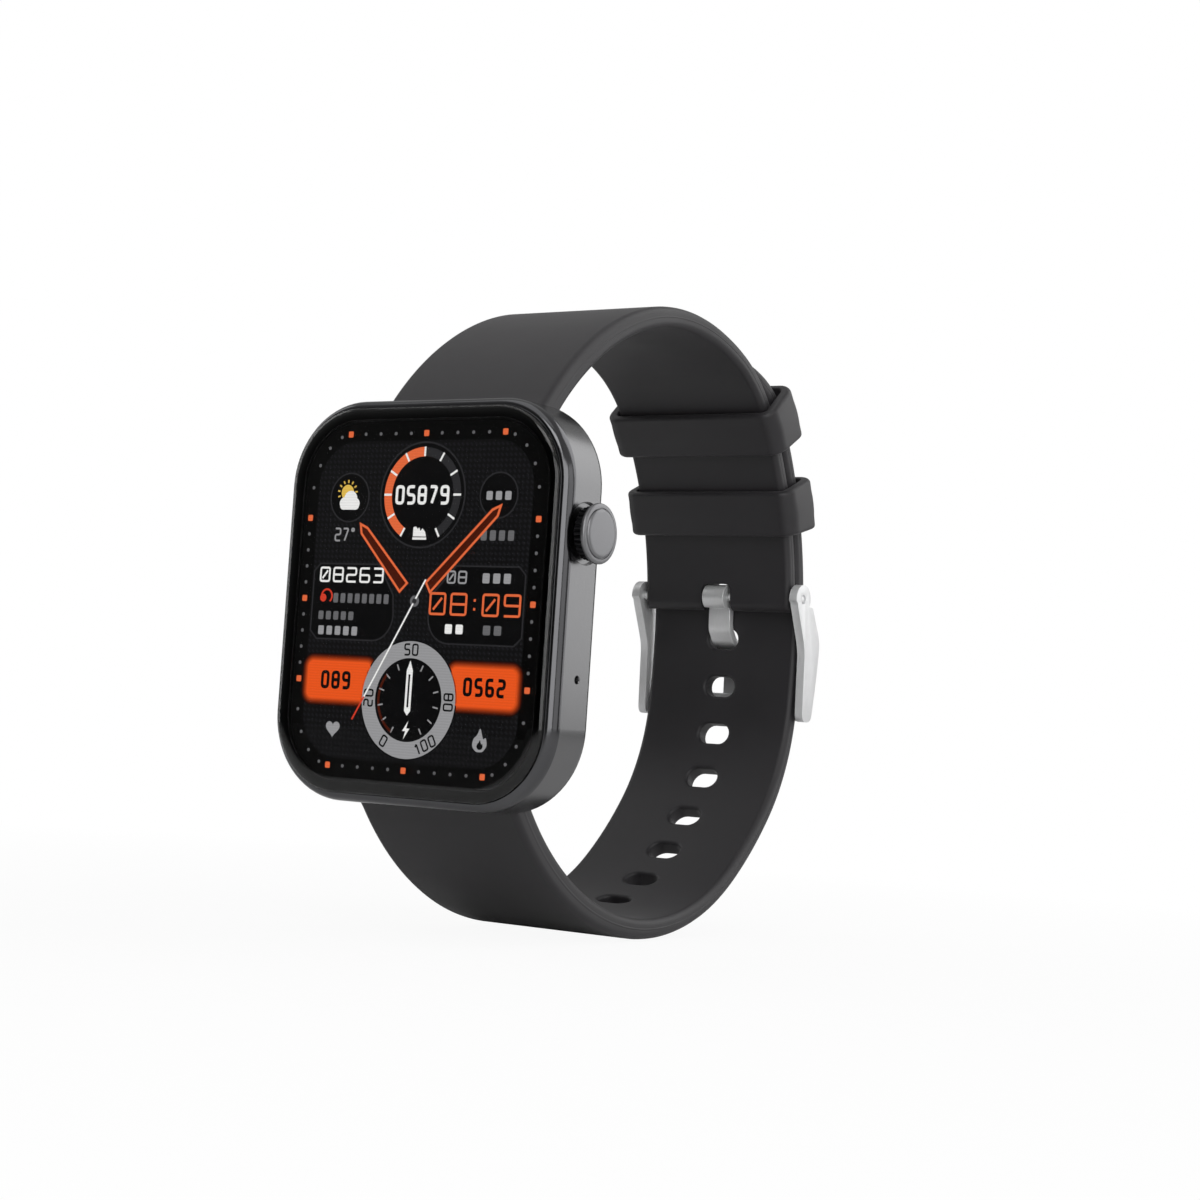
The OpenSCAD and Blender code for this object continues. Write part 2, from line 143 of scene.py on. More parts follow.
def add_node(
    tree: bpy.types.NodeTree, kind: str, settings: dict | None = None, stops: tuple = (), **inputs
) -> bpy.types.Node:
    """Adds one node.

    Args:
        tree: The node tree that gets it.
        kind: The node's type name.
        settings: Properties of the node.
        stops: Pairs of place and hex colour, for a colour ramp.
        **inputs: Values or sockets for its inputs, by name with underscores for spaces, or
            by i and a number.

    Returns:
        The node.
    """
    node = tree.nodes.new(kind)
    for key, value in (settings or {}).items():
        setattr(node, key, value)
    for key, value in inputs.items():
        is_index = key[0] == "i" and key[1:].isdigit()
        socket = node.inputs[int(key[1:]) if is_index else key.replace("_", " ")]
        if isinstance(value, bpy.types.NodeSocket):
            tree.links.new(value, socket)
        else:
            socket.default_value = value
    ramp = node.color_ramp.elements if stops else []
    while len(ramp) < len(stops):
        ramp.new(0.5)
    for element, (place, colour) in zip(ramp, stops):
        element.position = place
        element.color = linear(colour)
    return node


def start_material(name: str) -> tuple[bpy.types.Material, bpy.types.NodeTree, bpy.types.NodeSocket]:
    """Makes an empty node material.

    Args:
        name: The material's name.

    Returns:
        The material, its tree and the Object coordinates.
    """
    material = bpy.data.materials.new(name)
    material.use_nodes = True
    material.node_tree.nodes.clear()
    place = add_node(material.node_tree, "ShaderNodeTexCoord")
    return material, material.node_tree, place.outputs["Object"]


def finish_tree(tree: bpy.types.NodeTree, shader: bpy.types.Node) -> None:
    """Links a shader to the material's output."""
    add_node(tree, "ShaderNodeOutputMaterial", Surface=shader.outputs[0])


@dataclass(frozen=True)
class GrainedFinish:
    """A surface with a fine grain, a slow change of tone and a varied roughness.

    Attributes:
        name: The material's name.
        dark: Darkest tone.
        light: Lightest tone.
        roughness: Middle roughness.
        roughness_spread: How far the roughness wanders from its middle.
        metallic: 1 for a bare metal.
        grain: Size of the grain in millimetres.
        relief: Height of the grain in millimetres.
        patch: Size of the slow change of tone in millimetres.
        stretch: How far the grain is drawn out along each axis.
        sheen: Weight of a soft velvet-like sheen.
        specular: Specular level.
    """

    name: str
    dark: str
    light: str
    roughness: float
    roughness_spread: float = 0.06
    metallic: float = 0.0
    grain: float = 0.15
    relief: float = 0.004
    patch: float = 7.0
    stretch: tuple[float, float, float] = (1.0, 1.0, 1.0)
    sheen: float = 0.0
    specular: float = 0.5

    def make(self) -> bpy.types.Material:
        """Builds the node material."""
        material, tree, place = start_material(self.name)
        drawn = add_node(tree, "ShaderNodeMapping", Vector=place, Scale=self.stretch)
        fine = add_node(
            tree, "ShaderNodeTexNoise", Vector=drawn.outputs[0], Scale=per_mm(self.grain), Detail=3.0
        )
        slow = add_node(tree, "ShaderNodeTexNoise", Vector=place, Scale=per_mm(self.patch), Detail=2.0)
        both = add_node(
            tree, "ShaderNodeMath", {"operation": "MULTIPLY_ADD"}, i0=fine.outputs["Fac"], i1=0.35,
            i2=slow.outputs["Fac"],
        )
        tone = add_node(
            tree, "ShaderNodeValToRGB", stops=[(0.4, self.dark), (0.95, self.light)], Fac=both.outputs[0]
        ).outputs["Color"]
        rough = add_node(
            tree, "ShaderNodeMapRange", Value=both.outputs[0], i1=0.4, i2=0.95,
            i3=self.roughness - self.roughness_spread, i4=self.roughness + self.roughness_spread,
        )
        bump = add_node(
            tree, "ShaderNodeBump", Height=fine.outputs["Fac"], Distance=self.relief * MM, Strength=1.0
        )
        shader = add_node(
            tree, "ShaderNodeBsdfPrincipled", Base_Color=tone, Roughness=rough.outputs[0],
            Metallic=self.metallic, Normal=bump.outputs[0], Sheen_Weight=self.sheen,
            Specular_IOR_Level=self.specular,
        )
        finish_tree(tree, shader)
        return material


@dataclass(frozen=True)
class ClearGlass:
    """Polished glass that lets what is behind it through.

    Attributes:
        name: The material's name.
        tint: Colour of the light let through.
        haze: Roughness of the finest wipe marks.
    """

    name: str
    tint: str
    haze: float = 0.012

    def make(self) -> bpy.types.Material:
        """Builds the node material."""
        material, tree, place = start_material(self.name)
        wipes = add_node(tree, "ShaderNodeTexNoise", Vector=place, Scale=per_mm(9.0), Detail=3.0)
        rough = add_node(tree, "ShaderNodeMapRange", Value=wipes.outputs["Fac"], i3=0.0, i4=self.haze * 2)
        shader = add_node(
            tree, "ShaderNodeBsdfPrincipled", Base_Color=linear(self.tint), Roughness=rough.outputs[0],
            IOR=1.5, Transmission_Weight=1.0,
        )
        finish_tree(tree, shader)
        return material


@dataclass(frozen=True)
class LitColour:
    """Lit display colour: faint rows of light over an even glow.

    Attributes:
        name: The material's name.
        colour: Colour of the light.
        strength: Brightness.
    """

    name: str
    colour: str
    strength: float = 1.0

    def make(self) -> bpy.types.Material:
        """Builds the node material. The rows are 0.3 mm apart, coarser than real ones, to show."""
        material, tree, place = start_material(self.name)
        rows = add_node(
            tree, "ShaderNodeTexWave", {"bands_direction": "Z"}, Vector=place, Scale=bands_per_mm(0.3)
        )
        level = add_node(
            tree, "ShaderNodeMapRange", Value=rows.outputs["Fac"], i3=self.strength * 0.9,
            i4=self.strength,
        )
        shader = add_node(
            tree, "ShaderNodeBsdfPrincipled", Base_Color=(0.0, 0.0, 0.0, 1.0), Roughness=0.4,
            Emission_Color=linear(self.colour), Emission_Strength=level.outputs[0],
            Specular_IOR_Level=0.1,
        )
        finish_tree(tree, shader)
        return material


@dataclass(frozen=True)
class GlowingEdge:
    """Display light that fades with the piece's own "glow" attribute.

    Attributes:
        name: The material's name.
        colour: Colour at full glow.
        strength: Brightness at full glow.
    """

    name: str
    colour: str
    strength: float = 1.0

    def make(self) -> bpy.types.Material:
        """Builds the node material."""
        material, tree, _ = start_material(self.name)
        glow = add_node(tree, "ShaderNodeAttribute", {"attribute_name": "glow"})
        level = add_node(
            tree, "ShaderNodeMath", {"operation": "MULTIPLY"}, i0=glow.outputs["Fac"], i1=self.strength
        )
        shader = add_node(
            tree, "ShaderNodeBsdfPrincipled", Base_Color=linear("#050506"), Roughness=0.4,
            Emission_Color=linear(self.colour), Emission_Strength=level.outputs[0],
            Specular_IOR_Level=0.1,
        )
        finish_tree(tree, shader)
        return material


@dataclass(frozen=True)
class WovenScreen:
    """The display's background picture: a dark carbon weave, lit very faintly.

    Attributes:
        name: The material's name.
        dark: Tone of the sunk threads.
        light: Tone of the raised threads.
        pitch: Distance from thread to thread in millimetres, coarser than real, to show.
    """

    name: str
    dark: str
    light: str
    pitch: float = 0.42

    def make(self) -> bpy.types.Material:
        """Builds the node material: diagonal threads from a turned checker with soft bands."""
        material, tree, place = start_material(self.name)
        turned = add_node(tree, "ShaderNodeMapping", Vector=place, Rotation=(0.0, math.radians(45), 0.0))
        squares = add_node(
            tree, "ShaderNodeTexChecker", Vector=turned.outputs[0], Scale=per_mm(self.pitch)
        )
        bands = add_node(
            tree, "ShaderNodeTexWave", {"bands_direction": "X"}, Vector=turned.outputs[0],
            Scale=bands_per_mm(self.pitch),
        )
        mixed = add_node(
            tree, "ShaderNodeMath", {"operation": "MULTIPLY"}, i0=squares.outputs["Fac"],
            i1=bands.outputs["Fac"],
        )
        tone = add_node(
            tree, "ShaderNodeValToRGB", stops=[(0.0, self.dark), (1.0, self.light)], Fac=mixed.outputs[0]
        ).outputs["Color"]
        shader = add_node(
            tree, "ShaderNodeBsdfPrincipled", Base_Color=(0.0, 0.0, 0.0, 1.0), Roughness=0.5,
            Emission_Color=tone, Emission_Strength=1.0, Specular_IOR_Level=0.1,
        )
        finish_tree(tree, shader)
        return material


@dataclass(frozen=True)
class PatternedSheet:
    """A sheet with a repeated pattern: copper tracks, a punched mesh or a crinkle.

    Attributes:
        name: The material's name.
        ground: Colour of the sheet.
        mark: Colour of the pattern.
        pitch: Distance from mark to mark in millimetres.
        roughness: Roughness of the sheet.
        metallic: 1 for a metal.
        width: Share of the pitch that a mark covers.
    """

    name: str
    ground: str
    mark: str
    pitch: float
    roughness: float = 0.4
    metallic: float = 0.0
    width: float = 0.2

    def make(self) -> bpy.types.Material:
        """Builds the node material: thin lines where cells of a Chebychev Voronoi meet."""
        material, tree, place = start_material(self.name)
        cells = add_node(
            tree, "ShaderNodeTexVoronoi", {"feature": "DISTANCE_TO_EDGE"}, Vector=place,
            Scale=per_mm(self.pitch), Randomness=0.45,
        )
        tone = add_node(
            tree, "ShaderNodeValToRGB", stops=[(self.width * 0.5, self.mark), (self.width, self.ground)],
            Fac=cells.outputs["Distance"],
        ).outputs["Color"]
        bump = add_node(
            tree, "ShaderNodeBump", Height=cells.outputs["Distance"], Distance=0.03 * MM, Strength=0.6
        )
        shader = add_node(
            tree, "ShaderNodeBsdfPrincipled", Base_Color=tone, Roughness=self.roughness,
            Metallic=self.metallic, Normal=bump.outputs[0],
        )
        finish_tree(tree, shader)
        return material


@dataclass(frozen=True)
class Palette:
    """Every finish of the watch, one material each."""

    silicone: bpy.types.Material
    keeper_silicone: bpy.types.Material
    gunmetal: bpy.types.Material
    bezel_painted_shade: bpy.types.Material
    glass: bpy.types.Material
    smoked_glass: bpy.types.Material
    crown_black: bpy.types.Material
    crown_disc: bpy.types.Material
    steel: bpy.types.Material
    rear_plastic: bpy.types.Material
    gold: bpy.types.Material
    weave: bpy.types.Material
    screen_black: bpy.types.Material
    inner: dict


def make_palette() -> Palette:
    """Makes the materials.

    Returns:
        The palette.
    """
    sheet_steel = GrainedFinish(
        "pressed_steel", "#8b8c8e", "#a9aaac", 0.32, metallic=1.0, grain=0.3, stretch=(8, 1, 1)
    ).make()
    inner = {
        # Closed-cell foam scatters light in tiny pits and looks dead black
        "black_foam": GrainedFinish(
            "closed_cell_foam", "#101012", "#1c1c1e", 0.9, grain=0.25, relief=0.03
        ).make(),
        # Polyimide film is clear amber over copper tracks
        "flex_film": PatternedSheet(
            "polyimide_film", "#a4600f", "#6d3d0a", 0.8, roughness=0.25
        ).make(),
        # Rolled and pressed steel shows fine lines along the rolling direction
        "steel_sheet": sheet_steel,
        # Solder mask is glossy green lacquer over raised tracks
        "circuit_board": PatternedSheet(
            "solder_mask_board", "#0b3a20", "#1d5a34", 1.1, roughness=0.3
        ).make(),
        # Moulded epoxy is dull black with a fine even grain
        "chip_plastic": GrainedFinish(
            "moulded_epoxy", "#141415", "#202022", 0.6, grain=0.08, relief=0.006
        ).make(),
        # A cell pouch is aluminium laminate with soft crinkles
        "cell_foil": GrainedFinish(
            "aluminium_laminate", "#8e9094", "#b4b6ba", 0.3, metallic=1.0, grain=2.2, relief=0.05
        ).make(),
        # Sintered tungsten is heavy grey-brown metal with a matte skin
        "brass_weight": GrainedFinish(
            "sintered_tungsten", "#857a66", "#a39883", 0.45, metallic=1.0, grain=0.1
        ).make(),
        # Moulded rubber: black and matte
        "seal_rubber": GrainedFinish(
            "moulded_rubber", "#151516", "#222223", 0.7, grain=0.2, relief=0.006
        ).make(),
    }
    # Magnets and turned shafts share the pressed steel's bright grain
    inner["buckle_steel"] = sheet_steel
    inner["crown_metal"] = sheet_steel
    return Palette(
        # Liquid silicone rubber, moulded: very dark, with a soft broad highlight
        silicone=GrainedFinish(
            "moulded_silicone", "#1e1c1f", "#252326", 0.52, grain=0.11, relief=0.0045, patch=12.0,
            sheen=0.08,
        ).make(),
        keeper_silicone=GrainedFinish(
            "moulded_silicone_loop", "#1f1d20", "#262427", 0.5, grain=0.11, relief=0.004, patch=8.0,
            sheen=0.08,
        ).make(),
        # Coated zinc alloy: satin sides that turn from grey to black with the light
        gunmetal=GrainedFinish(
            "coated_alloy", "#737374", "#7b7b7c", 0.24, roughness_spread=0.03, metallic=1.0, grain=0.07,
            relief=0.0007, patch=14.0,
        ).make(),
        # The same coating polished on the slope round the glass, its tone darker as painted shade for the
        # dark reflection there
        bezel_painted_shade=GrainedFinish(
            "polished_alloy_painted_dark", "#59595b", "#636365", 0.16, roughness_spread=0.02, metallic=1.0,
            grain=0.09, relief=0.0004, patch=11.0,
        ).make(),
        # Toughened glass, polished: clear, with a sharp reflection
        glass=ClearGlass("toughened_glass", "#fdfdfd").make(),
        # Smoked polycarbonate lets only a little light through and looks almost black
        smoked_glass=ClearGlass("smoked_polycarbonate", "#3a3a40", haze=0.02).make(),
        # Plated and tumbled: black, with a soft gleam along each flute
        crown_black=GrainedFinish(
            "black_plated_alloy", "#2e2e30", "#3a3a3c", 0.34, metallic=1.0, grain=0.1, relief=0.001
        ).make(),
        # Turned alloy: fine rings catch the light
        crown_disc=GrainedFinish(
            "turned_alloy", "#7e7e80", "#8c8c8e", 0.4, metallic=1.0, grain=0.12, relief=0.0015,
            stretch=(6, 1, 1),
        ).make(),
        # Stamped and tumbled stainless steel: bright, slightly soft
        steel=GrainedFinish(
            "tumbled_stainless_steel", "#dcdddd", "#efeff0", 0.4, roughness_spread=0.05, metallic=0.5,
            grain=0.22, relief=0.0018, stretch=(1, 1, 0.2), patch=5.0,
        ).make(),
        # ABS with a fine spark-eroded texture
        rear_plastic=GrainedFinish(
            "textured_abs", "#121213", "#1b1b1c", 0.42, grain=0.16, relief=0.008
        ).make(),
        # Gold plate over nickel: warm and mirror-like, dulled a little by wear
        gold=GrainedFinish(
            "gold_plate", "#c79a45", "#e2bd68", 0.22, metallic=1.0, grain=0.2, relief=0.001
        ).make(),
        # A lit picture of woven carbon, hardly brighter than the unlit display
        weave=WovenScreen("display_weave", "#0a0a0b", "#1a1a1d").make(),
        # The unlit display is black ink behind glass and takes no colour from the room
        screen_black=GrainedFinish(
            "unlit_display", "#020202", "#040404", 0.35, grain=0.3, relief=0.0, specular=0.1
        ).make(),
        inner=inner,
    )


# ---------------------------------------------------------------- shapes


@dataclass
class Skin:
    """Points in millimetres and the faces between them.

    Attributes:
        points: Array of places, one row each.
        faces: Tuples of point numbers.
        finish: One number per face, for pieces of two finishes.
    """

    points: np.ndarray
    faces: list
    finish: list = field(default_factory=list)

    def joined(self, *others: Skin) -> Skin:
        """Puts other skins beside this one, as separate shells of one mesh."""
        points, faces = [self.points], list(self.faces)
        count = len(self.points)
        for other in others:
            points.append(other.points)
            faces += [tuple(i + count for i in face) for face in other.faces]
            count += len(other.points)
        return Skin(np.concatenate(points), faces)

    def moved(self, x: float = 0.0, y: float = 0.0, z: float = 0.0) -> Skin:
        """Shifts the skin."""
        return Skin(self.points + np.array([x, y, z]), self.faces, self.finish)


def grid_skin(grid: np.ndarray, ends: Ends = Ends.CAPPED) -> Skin:
    """Closes a grid of points into a skin.

    Each row is a closed outline, and each row is joined to the next by one band of quads. The
    last row is joined to the first, or the first and last rows get one flat face each.

    Args:
        grid: Places, rows by columns by three.
        ends: How the first and last rows are closed.

    Returns:
        The closed skin.
    """
    rows, cols = grid.shape[:2]
    bands = rows if ends is Ends.RING else rows - 1
    r = np.arange(bands)[:, None]
    c = np.arange(cols)[None, :]
    below, above = r * cols, (r + 1) % rows * cols
    after = (c + 1) % cols
    quads = np.stack([below + c, below + after, above + after, above + c], -1)
    faces = [tuple(q) for q in quads.reshape(-1, 4).tolist()]
    if ends is Ends.CAPPED:
        faces.append(tuple(range(cols))[::-1])
        faces.append(tuple(range((rows - 1) * cols, rows * cols)))
    return Skin(grid.reshape(-1, 3), faces)


def around(turn: np.ndarray) -> np.ndarray:
    """Points of the unit circle at angles in radians."""
    return np.stack([np.cos(turn), np.sin(turn)], 1)


def rounded_outline(
    width: np.ndarray, height: np.ndarray, radius: np.ndarray, steps: int = 14
) -> np.ndarray:
    """Four quarter circles about the corner centres, joined by straight sides.

    Args:
        width: Width of each outline.
        height: Height of each outline.
        radius: Corner radius of each outline.
        steps: Segments in a corner.

    Returns:
        Array of outlines by points by two.
    """
    width, height, radius = (
        np.atleast_1d(v).astype(float)[:, None, None] for v in (width, height, radius)
    )
    angle = np.arange(4)[:, None] * math.pi / 2 + np.linspace(0, math.pi / 2, steps + 1)[None, :]
    side_x = np.array([1, -1, -1, 1])[None, :, None]
    side_z = np.array([1, 1, -1, -1])[None, :, None]
    x = side_x * (width / 2 - radius) + radius * np.cos(angle)[None]
    z = side_z * (height / 2 - radius) + radius * np.sin(angle)[None]
    return np.stack([x, z], -1).reshape(len(width), -1, 2)


def stacked_outlines(table: np.ndarray, steps: int = 14) -> np.ndarray:
    """Rounded outlines stacked along Y.

    Args:
        table: Rows of width, height, corner radius and y.
        steps: Segments in a corner.

    Returns:
        Grid of places, one row for each outline.
    """
    table = np.asarray(table, float)
    flat = rounded_outline(table[:, 0], table[:, 1], table[:, 2], steps)
    y = np.broadcast_to(table[:, 3, None], flat.shape[:2])
    return np.stack([flat[..., 0], y, flat[..., 1]], -1)


def lifted(outline: np.ndarray, y: float) -> np.ndarray:
    """An outline of x and z at one y."""
    return np.stack([outline[:, 0], np.full(len(outline), y), outline[:, 1]], -1)


def turned(
    profile: np.ndarray, steps: int = 64, axis: str = "y", flutes: int = 0,
    depth: np.ndarray | float = 0.0,
) -> np.ndarray:
    """A profile of radius and height carried round an axis.

    With flutes, the radius falls by depth times the fourth power of the absolute cosine of
    half the flute angle, which leaves rounded teeth between narrow grooves.

    Args:
        profile: Rows of radius and place along the axis.
        steps: Segments round the axis.
        axis: Letter of the axis.
        flutes: Number of grooves round the axis.
        depth: Groove depth for each row.

    Returns:
        Grid of places, one row for each row of the profile.
    """
    profile = np.asarray(profile, float)
    angle = np.linspace(0, 2 * math.pi, steps, endpoint=False)[None, :]
    groove = np.abs(np.cos(angle * flutes / 2)) ** 4 if flutes else 0.0
    radius = profile[:, :1] - np.broadcast_to(depth, len(profile))[:, None] * groove
    across, up = radius * np.cos(angle), radius * np.sin(angle)
    height = np.broadcast_to(profile[:, 1:2], across.shape)
    order = {"y": (across, height, up), "x": (height, across, up)}[axis]
    return np.stack(order, -1)


def filleted(corners: list, radius: float, steps: int = 4) -> np.ndarray:
    """Rounds each corner of a closed outline.

    A corner becomes a quadratic curve between two points on its sides, each radius away from
    the corner or two fifths of the side, whichever is less.

    Args:
        corners: Corner places.
        radius: How far along its sides each corner's curve reaches.
        steps: Segments in a corner.

    Returns:
        Points of the rounded outline.
    """
    at = np.asarray(corners, float)
    before, after = np.roll(at, 1, 0) - at, np.roll(at, -1, 0) - at
    length_b, length_a = (np.linalg.norm(v, axis=1, keepdims=True) for v in (before, after))
    start = at + before / length_b * np.minimum(radius, 0.4 * length_b)
    end = at + after / length_a * np.minimum(radius, 0.4 * length_a)
    t = np.linspace(0, 1, steps + 1)[None, :, None]
    curve = (1 - t) ** 2 * start[:, None] + 2 * t * (1 - t) * at[:, None] + t**2 * end[:, None]
    return curve.reshape(-1, 2)


def plate_across(outline: np.ndarray, x0: float, x1: float) -> Skin:
    """A flat outline in y and z carried along X from x0 to x1."""
    ends = np.array([x0, x1])[:, None]
    x = np.broadcast_to(ends, (2, len(outline)))
    y = np.broadcast_to(outline[:, 0], x.shape)
    z = np.broadcast_to(outline[:, 1], x.shape)
    return grid_skin(np.stack([x, y, z], -1))


def rod_cutter(radius: float, half: float) -> Skin:
    """A plain rod along X that reaches half its length either way, used as a cutter."""
    return grid_skin(turned([(0, -half), (radius, -half), (radius, half), (0, half)], 32, "x"))


def box_skin(x: tuple, y: tuple, z: tuple) -> Skin:
    """A plain block, used as a cutter."""
    outline = np.array([[y[0], z[0]], [y[1], z[0]], [y[1], z[1]], [y[0], z[1]]])
    return plate_across(outline, *x)


# ---------------------------------------------------------------- pieces


def face_outwards(mesh: bpy.types.Mesh, weld: bool) -> None:
    """Turns faces outwards, after merging points that meet if weld is set."""
    made = bmesh.new()
    made.from_mesh(mesh)
    if weld:
        bmesh.ops.remove_doubles(made, verts=made.verts, dist=1e-6)
        bmesh.ops.dissolve_degenerate(made, dist=1e-7, edges=made.edges)
    bmesh.ops.recalc_face_normals(made, faces=made.faces)
    made.to_mesh(mesh)
    made.free()


def mesh_from(name: str, skin: Skin, weld: bool = True) -> bpy.types.Mesh:
    """Makes a mesh, merges points that meet and turns its faces outwards.

    Args:
        name: The mesh's name.
        skin: Its points, in millimetres, and faces.
        weld: Whether points that meet are merged.

    Returns:
        The mesh, in metres.
    """
    mesh = bpy.data.meshes.new(name)
    mesh.from_pydata((skin.points * MM).tolist(), [], skin.faces)
    if skin.finish:
        mesh.polygons.foreach_set("material_index", skin.finish)
    face_outwards(mesh, weld)
    return mesh


def settle(obj: bpy.types.Object) -> None:
    """Applies every modifier of an object to its mesh."""
    bpy.context.view_layer.update()
    shown = obj.evaluated_get(bpy.context.evaluated_depsgraph_get())
    mesh = bpy.data.meshes.new_from_object(shown)
    obj.modifiers.clear()
    obj.data = mesh


def placed(name: str, mesh: bpy.types.Mesh) -> bpy.types.Object:
    """Links a mesh to the scene under a name."""
    obj = bpy.data.objects.new(name, mesh)
    bpy.context.scene.collection.objects.link(obj)
    return obj


def piece(name: str, skin: Skin, weld: bool = True) -> bpy.types.Object:
    """Makes a skin a mesh and links it to the scene under the same name."""
    return placed(name, mesh_from(name, skin, weld))


def weigh_normals(obj: bpy.types.Object, weight: int = 80) -> None:
    """Lets large faces set the shading, so flat sides stay flat beside round edges."""
    weighted = obj.modifiers.new("weighted", "WEIGHTED_NORMAL")
    weighted.keep_sharp = True
    weighted.weight = weight
    settle(obj)


def carve(obj: bpy.types.Object, cutter: Skin, operation: str = "DIFFERENCE") -> None:
    """Cuts a skin out of an object, or adds it, exactly.

    Args:
        obj: The object.
        cutter: Closed shells in millimetres.
        operation: Name of the boolean operation.
    """
    tool = piece("tool", cutter)
    boolean = obj.modifiers.new("cut", "BOOLEAN")
    boolean.operation = operation
    boolean.solver = "EXACT"
    boolean.object = tool
    settle(obj)
    bpy.data.objects.remove(tool)


def soften(obj: bpy.types.Object, width: float, angle: float = 40.0, segments: int = 3) -> None:
    """Rounds edges sharper than an angle with a bevel, width in millimetres."""
    bevel = obj.modifiers.new("bevel", "BEVEL")
    bevel.width = width * MM
    bevel.segments = segments
    bevel.limit_method = "ANGLE"
    bevel.angle_limit = math.radians(angle)
    bevel.harden_normals = False
    settle(obj)


def dress(
    obj: bpy.types.Object, body: Body, finishes: list, replaces: tuple = (),
    crease: float = 35.0,
) -> bpy.types.Object:
    """Gives a piece its finish, its shading and its rigid body, and hides the CAD nodes it replaces.

    Args:
        obj: The piece.
        body: The body it rides on.
        finishes: Its materials.
        replaces: CAD nodes that it stands for.
        crease: Edges sharper than this many degrees stay sharp.

    Returns:
        The piece.
    """
    obj.data.materials.clear()
    for material in finishes:
        obj.data.materials.append(material)
    obj.data.shade_smooth()
    obj.data.set_sharp_from_angle(angle=math.radians(crease))
    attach(obj, body.value)
    if replaces:
        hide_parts(*replaces)
    LOG.info("%s: %d faces", obj.name, len(obj.data.polygons))
    return obj


# ---------------------------------------------------------------- case


